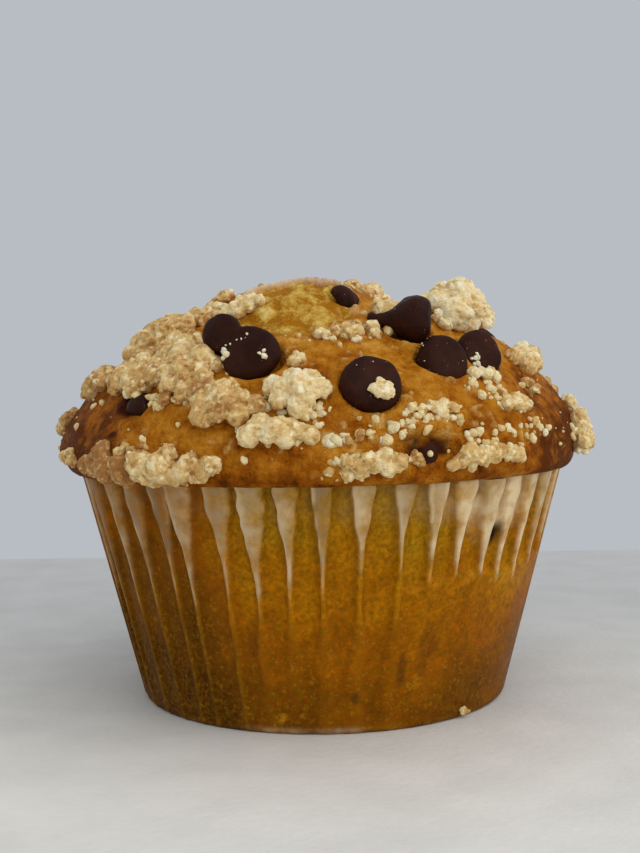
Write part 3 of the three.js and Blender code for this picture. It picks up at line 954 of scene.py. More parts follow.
@dataclass
class ChocolateChips:
    """All the chips: turned bodies with soft dents, half sunk in the crust."""

    form: DomeForm
    sides: int = 56
    steps: int = 5
    side_bearing: float = 43
    side_height: float = 24.5
    side_radius: float = 1.9
    side_sunk: float = 0.72
    tip_voxel: float = 0.16
    tip_smoothing: int = 6
    # How squarely the melted pair's lobes keep their own outlines, and how far each one swells
    pair_power: int = 8
    pair_swelling: float = 0.55

    def turned(self, outline: Sequence[tuple[float, float]], radius: float,
               reach: Array | float = 1) -> Shape:
        """A smooth body about Z from an outline through the given corners, with a reach for each side.

        Args:
            outline: corners as shares of the radius, across and along Z.
            radius: the body's size in millimetres.
            reach: how far out each side goes, as a share of the outline.

        Returns:
            The closed body, with its middle at the origin.
        """
        knots = np.array(outline)
        ends = np.concatenate([[knots[0] * (-1, 1)], knots, [knots[-1] * (-1, 1)]])
        rows = []
        for i in range(1, len(ends) - 2):
            before, here, there, after = ends[i - 1:i + 3]
            for j in range(self.steps):
                t = j / self.steps
                bend = 2 * before - 5 * here + 4 * there - after
                twist = 3 * here - before - 3 * there + after
                rows.append(0.5 * (2 * here + (there - before) * t + bend * t * t + twist * t ** 3))
        rows = np.array(rows[1:]) * radius
        turns = np.arange(self.sides) * 2 * math.pi / self.sides
        rings = around(np.maximum(rows[:, :1], 0.01) * reach, turns[None], rows[:, 1:])
        low, high = knots[0][1] * radius, knots[-1][1] * radius
        return lofted(rings, np.array([0, 0, low]), np.array([0, 0, high]))

    def settled(self, shape: Shape, axis: Array, up: Array, centre: Array, seed: int) -> Shape:
        """Turns a body's Z to an axis and its X near up, sets it at a centre and dents it softly.

        Args:
            shape: the body, with its middle at the origin.
            axis: where its Z is to point.
            up: where its X is to point, roughly.
            centre: where its middle goes.
            seed: picks the pattern of the dents.

        Returns:
            The same body in its place.
        """
        side = unit(up - axis * (up @ axis))
        turn = np.stack([side, np.cross(axis, side), axis])
        shape.points = shape.points @ turn + centre
        dents = 0.34 * noise(shape.points, 3.1, seed) + 0.1 * noise(shape.points, 1.1, seed + 1)
        shape.points = shape.points + shape.normals() * dents[:, None]
        return shape

    def body(self, chip: Chip, seed: int) -> Shape:
        """One chip in its place.

        Args:
            chip: which one.
            seed: picks its dents and, for the top one, the lumps of its curl.

        Returns:
            The chip's mesh.
        """
        place = chip.place(self.form)
        axis = chip.axis(place)
        if chip.name != TOP_CHIP:
            return self.settled(self.turned(OUTLINE, chip.radius), axis, place.right, place.point, seed)
        rng = np.random.default_rng(seed)
        curl = np.array(CURL) * chip.radius
        centres = np.stack([curl[:, 1], 0 * curl[:, 0], curl[:, 0]], -1)
        tip = lumps(centres, curl[:, 2], rng)
        whole = joined([self.turned(KISS_OUTLINE, chip.radius), tip])
        whole = remeshed(whole, self.tip_voxel, self.tip_smoothing)
        return self.settled(whole, axis, place.uphill, place.point, seed)

    def pair(self) -> Shape:
        """Two chips that melted into one, with a swelling for each.

        Returns:
            The pair's mesh.
        """
        place = MELTED_PAIR.place(self.form)
        roll = math.radians(PAIR_ROLL)
        turns = np.arange(self.sides) * 2 * math.pi / self.sides
        reach = 0
        for along, radius in PAIR_LOBES:
            toward = along * np.sin(turns)
            reach = reach + (toward + np.sqrt(radius ** 2 - along ** 2 + toward ** 2)) ** self.pair_power
        reach = reach ** (1 / self.pair_power) / MELTED_PAIR.radius
        shape = self.turned(OUTLINE, MELTED_PAIR.radius, reach)
        for along, radius in (PAIR_LOBES[0], PAIR_LOBES[-1]):
            apart = np.hypot(shape.points[:, 0] - along, shape.points[:, 1]) / radius
            shape.points[:, 2] -= self.pair_swelling * bell(apart, 0, 0.66)
        along = place.right * math.cos(roll) - place.uphill * math.sin(roll)
        return self.settled(shape, MELTED_PAIR.axis(place), along, place.point, 40)

    def in_side(self) -> Shape:
        """The small chip in the cake's side, behind the paper.

        Returns:
            The chip's mesh.
        """
        form = self.form
        share = self.side_height / form.under_lip
        radius = form.wall_base + (form.wall_top - form.wall_base) * share - self.side_radius * self.side_sunk
        bearing = math.radians(self.side_bearing)
        centre = around(radius, bearing, self.side_height)
        axis = around(1.0, bearing, 0.0)
        return self.settled(self.turned(OUTLINE, self.side_radius), -axis, np.array([0, 0, 1.0]), centre, 60)

    def sugar(self, shapes: dict[str, Shape]) -> Shape:
        """Grains of sugar stuck to the chips.

        Args:
            shapes: the chips' meshes by name.

        Returns:
            All the grains as one mesh.
        """
        rng = np.random.default_rng(21)
        middles, sizes = [], []
        for name, bearing, polar, count, size, spread in FLECKS:
            place = self.form.place(bearing, polar, 2)
            for _ in range(count):
                aim = place.at(*rng.normal(0, spread / 2, 2), 0)
                apart = np.linalg.norm(shapes[name].points - aim, axis=-1)
                middles.append(shapes[name].points[apart.argmin()])
                sizes.append(size * rng.uniform(0.6, 1.3))
        made = lumps(np.array(middles), np.array(sizes), rng, 2)
        made.points = made.points + made.normals() * (0.2 * noise(made.points, 0.35, 83))[:, None]
        made.values = {"toast": np.full(len(made.points), -0.1)}
        return made

    def build(self, finishes: Finishes) -> None:
        """Makes every chip and gives it its finish.

        Args:
            finishes: the four materials.
        """
        shapes = {chip.name: self.body(chip, seed + 1) for seed, chip in enumerate((*CHIPS, FRONT_CHIP))}
        pieces = [(name, shape, name) for name, shape in shapes.items()]
        shapes["pair"] = self.pair()
        pieces += [("melted_pair", shapes["pair"], "left_pair"), ("in_side", self.in_side(), "in_side")]
        for name, shape, node in pieces:
            dress(shape.piece(f"chocolate_{name}"), finishes.chocolate, Slot.CHOCOLATE, f"chip_{node}")
        dress(self.sugar(shapes).piece("sugar_on_chips"), finishes.streusel, Slot.STREUSEL)


# The cake


@dataclass
class Cake:
    """The whole cake: a domed crust, torn at the crag, over a wall inside the paper."""

    form: DomeForm
    columns: int = 440
    dome_rows: int = 150
    lip_rows: int = 16
    wall_rows: int = 8
    floor: float = 0.65
    corner: float = 1.3
    torn_middle: tuple[float, float] = (-3.2, -14.8)
    torn_half: tuple[float, float] = (7.6, 7.0)
    # How near to the very top the last ring comes, as a share of a quarter turn
    last_share: float = 0.006
    # The soft swelling under the lip: how far out it reaches, and at what polar angle
    lip_swelling: float = 0.95
    lip_swelling_at: float = 138
    # Spots of melted chocolate: bearing and polar angle in degrees, and the size in degrees
    stains: tuple[tuple[float, float, float], ...] = ((-44.5, 65, 5), (-45, 76, 2), (30, 80, 1.6))

    def grid(self) -> tuple[Array, Array]:
        """Bearings and polar angles of the crust's rings, from under the lip to the top.

        Returns:
            The bearings and the polar angles in radians, one row for each ring.
        """
        under = np.linspace(180, 92, self.lip_rows)
        over = 90 * np.linspace(1, self.last_share, self.dome_rows)
        polars = np.radians(np.concatenate([under, over]))
        bearings = np.arange(self.columns) * 2 * math.pi / self.columns
        return np.meshgrid(bearings, polars)

    def torn_reach(self, points: Array) -> Array:
        """How far out of the torn face a place is: 0 in its middle and 1 at its edge.

        Args:
            points: places in millimetres, one row each.

        Returns:
            A value for each place.
        """
        x = (points[:, 0] - self.torn_middle[0]) / self.torn_half[0]
        y = (points[:, 1] - self.torn_middle[1]) / self.torn_half[1]
        return np.hypot(x, y) + 0.16 * noise(points, 3.2, 31) + 0.08 * noise(points, 1.2, 32)

    def chip_relief(self, points: Array) -> Array:
        """The crust's collar round each chip and its dip below it.

        Args:
            points: places in millimetres, one row each.

        Returns:
            A height for each place, in millimetres.
        """
        total = np.zeros(len(points))
        for chip in (*CHIPS, FRONT_CHIP, *PAIR_HOLLOWS):
            place = self.form.place(chip.bearing, chip.polar)
            distance = np.linalg.norm(points - place.point, axis=-1) / chip.radius
            dip = 1.1 * (0.35 if chip.lift < 0 else 1)
            total += 0.32 * bell(distance, 1.16, 0.16) - dip * step(1.02, 0.8, distance)
        return total

    def build(self, finishes: Finishes) -> None:
        """Makes the cake and gives it its finish.

        Args:
            finishes: the four materials.
        """
        form = self.form
        bearing, polar = self.grid()
        crust = form.crust(bearing, polar)
        out = form.normal(bearing, np.maximum(polar, form.least_polar)).reshape(-1, 3)
        flat, turns, tips = crust.reshape(-1, 3), bearing.ravel(), polar.ravel()
        reach = self.torn_reach(flat)
        torn = step(1.08, 0.9, reach)
        edge = bell(reach, 1.03, 0.06) * step(-17, -12, flat[:, 1])
        shown = step(math.radians(178), math.radians(110), tips)
        rough = 0.24 * layers(flat, 3.2, 3) + 0.12 * noise(flat, 1.1, 8)
        dusting = self.dusting(flat, turns, tips) * (1 - torn)
        rough += 0.26 * dusting
        shag = 0.75 * layers(flat, 3.1, 21) - 0.45 + 0.14 * noise(flat, 0.7, 26)
        lift = (rough + torn * shag + 0.5 * edge + self.chip_relief(flat)) * shown
        lift += self.lip_swelling * bell(tips, math.radians(self.lip_swelling_at), math.radians(24))
        crust = (flat + out * lift[:, None]).reshape(crust.shape)
        lows = np.linspace(self.floor + self.corner, form.under_lip, self.wall_rows, endpoint=False)
        radii = form.wall_base + (form.wall_top - form.wall_base) * (lows / form.under_lip)
        walls = around(radii[:, None], bearing[:1], lows[:, None])
        base = around(form.wall_base - self.corner, bearing[:1], self.floor)
        shape = lofted(np.concatenate([base, walls, crust]), np.array([0, 0, self.floor]),
                       form.crust(0.0, 0.0) + (0, 0, float(lift[-1])))
        shape.values = self.values(shape.points, torn, shag, edge, dusting, turns, tips)
        dress(shape.piece("crust"), finishes.crust, Slot.CRUST, "muffin_cake")

    @staticmethod
    def dusting(points: Array, bearing: Array, polar: Array) -> Array:
        """Where crumbs half melted into the crust: in patches, most of all at the front right and on top.

        Args:
            points: places in millimetres, one row each.
            bearing: bearings in radians, 0 at the front and growing to the right.
            polar: angles from straight up, in radians.

        Returns:
            A share from 0 to 1 for each place.
        """
        turn, tip = bearing_degrees(bearing), np.degrees(polar)
        right = np.exp(-((turn - 22) / 26) ** 2 - ((tip - 78) / 20) ** 2)
        top = np.exp(-((turn - 10) / 40) ** 2 - ((tip - 40) / 9) ** 2)
        level = 0.3 - 0.24 * np.maximum(right, top) + 0.12 * step(88, 100, tip)
        return step(level, level + 0.16, 0.6 * layers(points, 2.3, 91) + 0.6 * noise(points, 1.1, 94))

    def values(self, points: Array, torn: Array, shag: Array, edge: Array, dusting: Array, bearing: Array,
               polar: Array) -> dict[str, Array]:
        """The toasting, with painted shade at the left, tearing, dusting and staining of every place of the
        finished mesh.

        Args:
            points: the places of the whole mesh.
            torn: how torn each place of the crust is.
            shag: the height of the torn crumb there.
            edge: how near the tear's edge it is.
            dusting: how much crumb melted into it.
            bearing: bearings in radians, 0 at the front and growing to the right.
            polar: angles from straight up, in radians.

        Returns:
            The values by the name that the material reads.
        """
        lead = (self.wall_rows + 1) * self.columns

        def padded(values: Array, low: float = 0) -> Array:
            """Values for the whole mesh from values for the crust."""
            return np.concatenate([np.full(lead, low), values, [low, values[-1]]])

        turn, tip = bearing_degrees(bearing), np.degrees(polar)
        on_crust = points[lead:-2]
        toast = 0.4 + 0.14 * step(45, 90, tip) + 0.1 * step(105, 140, tip)
        # Darker at the left: partly toasting and partly painted shade on the side away from the light.
        left, right = step(-34, -56, turn) * step(48, 66, tip), step(40, 62, turn) * step(50, 70, tip)
        toast += 0.48 * left + 0.44 * right
        toast += 0.36 * noise(on_crust, 7, 41) + 0.34 * layers(on_crust, 2.8, 42)
        smear = np.hypot((turn - 21) / 8, (tip - 92) / 15)
        smear = smear + 0.6 * noise(on_crust, 2.0, 45) + 0.3 * noise(on_crust, 0.8, 47)
        stain = 0.95 * step(1.05, 0.4, smear)
        for at, down, size in self.stains:
            far = np.hypot((turn - at) * np.sin(polar), tip - down) / size + 0.3 * noise(on_crust, 1.4, 46)
            stain = np.maximum(stain, 0.85 * step(1, 0.55, far))
        marks = {"torn": torn, "depth": shag, "edge": edge, "stain": stain, "dusting": dusting}
        return {"toast": padded(toast, 0.5), **{label: padded(value) for label, value in marks.items()}}


# The paper case


@dataclass
class PaperCase:
    """A pleated paper case, pressed against the cake between its folds."""

    form: DomeForm
    pleats: int = 46
    rows: int = 108
    inner_rows: int = 44
    thickness: float = 0.24
    base_depth: float = 0.34
    rim_depth: float = 1.4
    flank: float = 0.62
    ledge_height: float = 19.6
    rim_top: float = 31.65
    # Where the folds at the front stray from even spacing, how wide their faces are at the rim, in
    # degrees, and where each face has narrowed to a line
    front: tuple[tuple[int, float, float, float], ...] = (
        (-9, 0.3, 2.6, 20), (-8, -1.4, 2.4, 20), (-7, 0.8, 2.6, 21), (-6, 1.4, 2.9, 22),
        (-5, 1.8, 2.4, 23), (-4, -0.7, 3.2, 22), (-3, 1.0, 2.9, 23.5), (-2, 0.65, 2.9, 21.5),
        (-1, 0.3, 1.9, 23), (0, 0, 2.0, 24.5), (1, 0.7, 2.3, 25.5), (2, 1.85, 2.1, 27), (3, 1.5, 2.1, 25.5),
        (4, 0.7, 2.3, 24), (5, 0.9, 2.6, 23), (6, -0.5, 2.3, 22.5), (7, -0.8, 2.0, 22),
    )
    knots: tuple[float, ...] = (-3, -2.5, -2, -1.5, -1, -0.5, 0, 0.5, 1, 1.5, 2, 2.5)
    # Half the width of a fold's face below its narrowing, and how far above that it starts to widen
    line_half: float = 0.42
    widening: float = 2.5
    # Flakes of crumb stuck inside the paper: bearing, height and size
    flakes: tuple[tuple[float, float, float], ...] = (
        (-30.5, 28.2, 1.0), (-12, 2.2, 0.9), (-6, 2.6, 0.5), (24, 6.2, 1.1),
    )
    # Chocolate that shows through: bearing, height, half width, half height and strength
    spots: tuple[tuple[float, float, float, float, float], ...] = (
        (43, 24.6, 1.5, 2.4, 1.0), (20, 8.5, 0.9, 2.6, 0.5), (8, 4.8, 0.8, 1.0, 0.5),
        (-33, 18.2, 0.35, 1.6, 0.8), (27, 11, 1.6, 3.4, 0.3), (-18, 12, 1.2, 3, 0.25), (-70, 14, 2, 3, 0.3),
        (118, 17, 2, 2.4, 0.6), (-140, 13, 1.8, 2.2, 0.5), (170, 22, 1.4, 2, 0.7),
    )

    def folds(self) -> tuple[Array, Array, Array]:
        """Each fold's bearing, half width at the rim and narrowing height.

        Returns:
            Three rows with a number for each fold: two in degrees and the height in millimetres.
        """
        index = np.arange(self.pleats)
        middle = index * 360 / self.pleats + 0.9 * (evenly(index, 3) - 0.5)
        half = 2.3 * (0.82 + 0.34 * evenly(index, 8))
        neck = 21.5 + 4 * evenly(index, 9)
        for fold, stray, width, low in self.front:
            at = fold % self.pleats
            middle[at], half[at], neck[at] = at * 360 / self.pleats + stray, width, low
        return middle, half, neck

    def skin(self, heights: Array, inset: float) -> tuple[Array, dict[str, Array]]:
        """The pleated rings at some heights.

        Args:
            heights: one height for each ring.
            inset: how far inside the outer face they lie.

        Returns:
            The rings, and the values across, which counts 0 on a fold's middle, 1 at its face's
            edge, 2 at its foot and 3 halfway to the next, and neck, each fold's narrowing height.
        """
        middle, half, neck = self.folds()
        high = heights[:, None, None]
        knots = np.array(self.knots)[None, None]
        row = np.broadcast_to(heights[:, None], (len(heights), self.pleats))
        where = np.stack([row / 5.5, np.broadcast_to(np.arange(self.pleats) * 7.7, row.shape),
                          np.zeros_like(row)], -1).reshape(-1, 3)
        drift = (0.9 * noise(where, 1, 51) * (1 - row.ravel() / 40)).reshape(row.shape)
        wander = (1 + 0.5 * noise(where * (2.4, 1, 1), 1, 52)).reshape(row.shape)
        starts = neck[None, :, None] - self.widening
        spread = step(0, 1, (high - starts) / (self.form.rim_height - starts))
        face = (self.line_half + (half[None, :, None] - self.line_half) * spread) * wander[..., None]
        nexts = np.roll(middle, -1)
        nexts[-1] += 360
        befores = np.roll(middle, 1)
        befores[0] -= 360
        right = ((nexts - middle) / 2)[None, :, None]
        left = ((middle - befores) / 2)[None, :, None]
        reach = np.where(knots < 0, left, right)
        size = np.abs(knots)
        fold_degrees = wrapped(middle)[None, :, None]
        crisp = np.maximum(step(9, 17, high), self.crispness(fold_degrees))
        offset = np.where(size <= 1, size * face, np.where(size <= 2, face + (size - 1) * self.flank,
                          face + self.flank + (size - 2) * (reach - face - self.flank)))
        offset = crisp * offset + (1 - crisp) * reach * size / 3
        turn = np.radians(middle[None, :, None] + drift[..., None] + np.sign(knots) * offset)
        share = high / self.form.rim_height
        degrees = wrapped(np.degrees(turn))
        smooth_side = (step(15, 24, degrees) * step(86, 74, degrees)
                       * step(0.6, -0.6, high - self.ledge_line(degrees)))
        depth = self.base_depth + (self.rim_depth - self.base_depth) * share ** 1.7
        depth = depth * (1 - 0.72 * smooth_side) * (0.3 + 0.7 * step(0, 6, high))
        sharp = np.where(size <= 1, 0.06 * size ** 2,
                         np.where(size <= 2, 0.1 + 0.84 * (size - 1), 0.94 + 0.06 * (size - 2)))
        sunk = depth * (crisp * sharp + (1 - crisp) * (0.5 - 0.5 * np.cos(math.pi * size / 3)))
        ridge = self.form.base_radius + (self.form.rim_radius - self.form.base_radius) * share - 0.05
        bulge = 0.35 * smooth_side * step(0, 3, high)
        radius = ridge - sunk - inset + np.minimum(bulge, sunk)
        uneven = np.where(high >= self.rim_top, 0.3 * evenly(np.arange(self.pleats), 5)[None, :, None], 0)
        rings = around(radius, turn, high - uneven)
        shape = rings.shape[:3]
        values = {"across": np.broadcast_to(size, shape), "neck": np.broadcast_to(neck[None, :, None], shape),
                  "side": smooth_side, "lean": np.broadcast_to(np.sign(knots), shape)}
        count = len(heights)
        return rings.reshape(count, -1, 3), {k: v.reshape(count, -1) for k, v in values.items()}

    @staticmethod
    def crispness(degrees: Array) -> Array:
        """How sharp the folds stay below: most of all at the front left, and unevenly at the back.

        Args:
            degrees: bearings from -180 to 180.

        Returns:
            A share from 0 to 1 for each bearing.
        """
        back = 0.35 + 0.3 * np.sin(degrees / 11)
        front = 0.1 + 0.85 * step(-12, -26, degrees)
        return np.clip(front + (back - front) * step(88, 110, np.abs(degrees)), 0, 1)

    def ledge_line(self, degrees: Array) -> Array:
        """The height of the crease on the right, below which the paper lies smooth."""
        return self.ledge_height + 0.025 * (degrees - 45) + 0.5 * np.sin(degrees / 4.5)

    def build(self, finishes: Finishes) -> None:
        """Makes the case and gives it its finish.

        Args:
            finishes: the four materials.
        """
        rim = self.rim_top
        low = 0.7 * (1 - np.cos(np.linspace(0, math.pi / 2, 5)))
        outside = np.concatenate([low, np.linspace(low[-1], rim, self.rows)[1:]])
        inside = np.concatenate([np.linspace(rim, 3, self.inner_rows), [self.thickness]])
        outer, marks = self.skin(outside, 0)
        tucked = 0.55 * (1 - np.sqrt(1 - (1 - np.clip(outside / 0.7, 0, 1)) ** 2))
        shrink = 1 - tucked[:, None] / np.linalg.norm(outer[..., :2], axis=-1)
        outer[..., :2] *= shrink[..., None]
        inner, _ = self.skin(inside, self.thickness)
        inner[-1, :, :2] *= 0.975
        discs = [outer[0] * (share, share, 1) for share in (0.35, 0.7, 0.88, 0.96)]
        rings = np.concatenate([discs, outer, inner])
        shape = lofted(rings, np.zeros(3), np.array([0, 0, self.thickness]))
        before, columns = 4 * outer.shape[1], outer.shape[1]
        after = len(shape.points) - before - outer.shape[0] * columns
        outer_points = outer.reshape(-1, 3)
        painted = self.values(outer_points, {k: v.ravel() for k, v in marks.items()})
        floor_value = {"height": 0.08}
        inner_value = {"height": 0.5, "away": 0.2}
        shape.values = {label: np.concatenate([np.full(before, floor_value.get(label, 0.0)), value,
                                               np.full(after, inner_value.get(label, 0.0))])
                        for label, value in painted.items()}
        dress(shape.piece("paper_case_pleated"), finishes.paper, Slot.PAPER, "paper_case")

    def values(self, points: Array, marks: dict[str, Array]) -> dict[str, Array]:
        """What shows through the paper at every place of its outer face.

        Args:
            points: the places of the outer face.
            marks: what skin gives for them.

        Returns:
            The values by the name that the material reads.
        """
        high = points[:, 2]
        across, neck, side, lean = (marks[label] for label in ("across", "neck", "side", "lean"))
        turn = np.degrees(np.arctan2(points[:, 0], -points[:, 1]))
        on_face = step(1.6, 1.0, across)
        # Painted light: each face is painted palest along its edge toward the light, and lets the cake shine
        # through beside it
        toward_light = 0.5 - 0.5 * lean * np.where(turn > 24, -1, 1) * np.minimum(across, 1)
        through = 0.42 + 0.5 * toward_light + 0.8 * noise(points, 2.2, 73) + 0.4 * noise(points, 0.8, 74)
        tail = neck - 3.4
        away = on_face * step(tail - 1.2, tail + 2.2, high + 1.2 * noise(points, 2.4, 61))
        # Near the rim the cake has drawn back from the paper, most of all on the right
        loose = bell(turn, 43, 16)
        bare = loose + 0.4 * step(-30, -44, turn) + 0.12
        clear_top = bare * step(26.4, 30, high + 2.6 * loose + 2.4 * noise(points, 3.5, 62))
        away = np.clip(np.maximum(away, clear_top) * np.clip(through + 0.3 * loose, 0.25, 1), 0, 1)
        gleam = bell(across, 0.9, 0.3) * step(0.5, 1, toward_light) * step(tail - 1, tail + 3, high)
        line = step(0.95, 0.3, across) * (1 - side)
        line = line * step(tail - 4, tail, high) * step(tail + 5, tail + 1, high)
        gleam = np.maximum(0.8 * gleam, 0.4 * line) * np.clip(0.55 + 1.6 * noise(points, 2.6, 75), 0, 1)
        lifted_hem = step(1.2, 0.5, high) * step(-30, -16, turn) * step(16, 2, turn)
        away = np.maximum(away, lifted_hem * np.clip(0.35 + noise(points, 2, 76), 0, 1))
        smear_line = bell(high - self.ledge_line(turn), -0.7, 0.8) * step(17, 26, turn) * step(80, 70, turn)
        smear = 0.55 * smear_line * step(-0.15, 0.35, noise(points, 3, 64))
        for at, up, size in self.flakes:
            far = np.hypot(np.radians(turn - at) * 28, high - up) / size
            smear = np.maximum(smear, 0.6 * step(1, 0.5, far + 0.5 * noise(points, 0.8, 65)))
        hem = step(1.1, 0.4, high) * (0.1 + 1.2 * noise(points, 3.5, 66))
        smear = np.maximum(smear, 0.5 * np.clip(hem, 0, 1))
        spot = np.zeros(len(points))
        for at, up, wide, tall, strength in self.spots:
            far = np.hypot(np.radians(wrapped(turn - at)) * 29 / wide, (high - up) / tall)
            spot = np.maximum(spot, strength * step(1.05, 0.4, far + 0.35 * noise(points, 1.1, 67)))
        crisp = self.crispness(turn)
        # Painted highlight: a lighter line, in the smear colour, along each fold's ridge, stronger higher up
        # and where the folds are crisp.
        lit = 0.12 + 0.5 * step(9, 20, high) + 0.35 * crisp
        ridge = step(1.7, 0.6, across) * (1 - 0.85 * side) * lit * (0.8 + 0.7 * noise(points, 4, 68))
        # Painted shade in the crease at the foot of each fold.
        fold = bell(across, 2.15, 0.35) * (1 - 0.8 * side)
        fold = fold * (0.3 + 0.7 * np.maximum(crisp, step(12, 24, high)))
        # Painted shade at the left, away from the light, with darker baking at the right and some at random.
        baked = 1.75 * step(-10, -50, turn) + 0.35 * step(40, 80, turn) + 0.3 * noise(points, 9, 69)
        # Each fold catches the light in its own way, and those at the left and the back less
        own = np.sin(np.round((turn + 180) / 7.8) * 2.4) * 0.26
        folded = 0.5 + own + 0.5 * step(16, 34, turn) - 0.34 * step(-20, -45, turn)
        folded = folded + 0.4 * noise(points, 3, 70)
        shares = {"ridge": ridge, "baked": baked, "folded": folded}
        found = {"height": high / self.form.rim_height, "away": away, "spot": spot, "smear": smear,
                 "fold": fold, "gleam": gleam}
        return {**found, **{label: np.clip(value, 0, 1) for label, value in shares.items()}}


# Streusel


@dataclass(frozen=True)
class Clump:
    """A heap of streusel: its place in degrees, its size, its nuggets, and how toasted it is."""

    name: str
    bearing: float
    polar: float
    across: float
    uphill: float
    rise: float
    nugget: float
    count: int
    toast: float


CLUMPS = (
    Clump("top_right", 61, 35, 9.5, 9, 3.4, 2.3, 12, -0.06),
    Clump("left_upper", -58, 41, 14, 9.5, 1.0, 1.8, 18, 0.4),
    Clump("left_lower", -48, 54, 14, 7.5, 0.7, 1.7, 16, 0.42),
    Clump("left_middle", -30, 55, 8, 8.5, 0.9, 1.7, 11, 0.38),
    Clump("left_shoulder", -72, 57, 7, 6, 0.6, 1.6, 8, 0.5),
    Clump("gold", -17.5, 67.5, 8, 8, 1.1, 1.7, 10, 0.42),
    Clump("cream", -3.5, 64, 7, 6.6, 1.6, 1.8, 9, 0.06),
    Clump("front_low", -6.5, 77, 8.5, 4.8, 0.7, 1.5, 9, 0.2),
    Clump("rim_left", -45, 98, 11, 18, 0.4, 1.7, 11, 0.72),
    Clump("rim_middle", -27, 98, 10.5, 21, 0.6, 1.8, 11, 0.36),
    Clump("rim_front", 10.5, 105, 7.4, 19, 0.2, 1.3, 10, 0.26),
    Clump("rim_right", 34, 95, 8.6, 12, 0.2, 1.2, 11, 0.26),
    Clump("right", 71.5, 55, 5.6, 5.4, 1.2, 1.6, 7, 0.3),
    Clump("right_edge", 79, 88, 5, 24, 0.8, 1.7, 12, 0.18),
    Clump("crag_left", -60, 24, 5, 4.4, 0.7, 1.4, 5, 0.3),
    Clump("crag_right", 29, 31.5, 4.6, 4, 0.7, 1.4, 5, 0.3),
    Clump("back_top", 140, 18, 9, 7, 1.8, 1.8, 9, 0.34),
    Clump("back_right", 135, 62, 10, 7, 1.6, 1.8, 10, 0.38),
    Clump("back_low", 165, 82, 8, 5, 1.2, 1.6, 7, 0.46),
    Clump("back_slope", -155, 50, 11, 8, 1.6, 1.8, 12, 0.34),
    Clump("back_left", -122, 84, 8, 5, 1.1, 1.6, 7, 0.54),
    Clump("left_edge", -90, 74, 8, 6, 0.3, 1.3, 7, 0.56),
    Clump("right_low", 108, 80, 7, 5, 1.1, 1.6, 7, 0.42),
)
CLUSTERS = (
    Clump("white_row", 43, 58.5, 4.8, 1.8, 0.5, 0.95, 6, 0.02),
    Clump("arc", 23.5, 71.5, 7.4, 2.8, 0.3, 0.8, 9, 0.28),
    Clump("right_small", 46.5, 69.5, 5.8, 3.6, 0.4, 0.95, 9, 0.22),
    Clump("crag_foot", 12, 39.5, 10, 3.4, 0.4, 1.0, 13, 0.34),
    Clump("crag_smear", -35, 27, 8, 3.4, -0.1, 0.95, 14, 0.1),
    Clump("over_sunken", -43.5, 62, 3.2, 1.8, 0.9, 0.8, 5, 0.3),
    Clump("right_of_pair", -3.5, 50, 2.4, 2.4, 0.3, 0.9, 3, 0.18),
    Clump("below_pair", -18.5, 52.5, 3.4, 1.8, 0.4, 0.8, 4, 0.2),
    Clump("left_high", -58, 31, 5.6, 4.6, 0.7, 1.4, 7, 0.34),
    Clump("left_between", -37, 47.5, 7.5, 5.6, 0.8, 1.5, 9, 0.38),
    Clump("left_front", -27, 62, 8, 6, 0.4, 1.3, 10, 0.46),
    Clump("lip_middle", 18, 100, 4, 14, 0.1, 0.8, 6, 0.4),
    Clump("lip_front", 5, 122, 5, 16, 0.1, 0.9, 8, 0.36),
    Clump("lip_right", 30, 112, 6, 16, 0.1, 0.9, 7, 0.3),
    Clump("lip_low_left", -38, 128, 12, 12, 0.1, 1.0, 12, 0.4),
    Clump("lip_far_right", 42, 103, 4, 14, 0.1, 0.9, 6, 0.28),
    Clump("lip_edge", -66, 96, 8, 14, 0.1, 1.0, 9, 0.5),
    Clump("left_rim_gap", -36, 82, 6, 6, 0.1, 0.8, 6, 0.5),
    Clump("front_speck", 8, 80, 3.4, 3, 0.1, 0.7, 4, 0.42),
    Clump("right_bank", 60, 62, 5, 4, 0.2, 0.8, 6, 0.42),
    Clump("back_patch", 100, 66, 9, 6, 0.3, 1.0, 11, 0.42),
    Clump("back_high", 178, 38, 9, 7, 0.4, 1.1, 12, 0.36),
    Clump("back_side", -105, 62, 10, 7, 0.3, 1.1, 12, 0.46),
    Clump("back_edge", -168, 88, 9, 14, 0.2, 1.0, 9, 0.5),
    Clump("back_lip", 130, 98, 9, 16, 0.2, 1.0, 8, 0.5),
    Clump("top_right_foot", 54, 37.5, 8, 4, 1.0, 1.5, 9, 0.06),
)


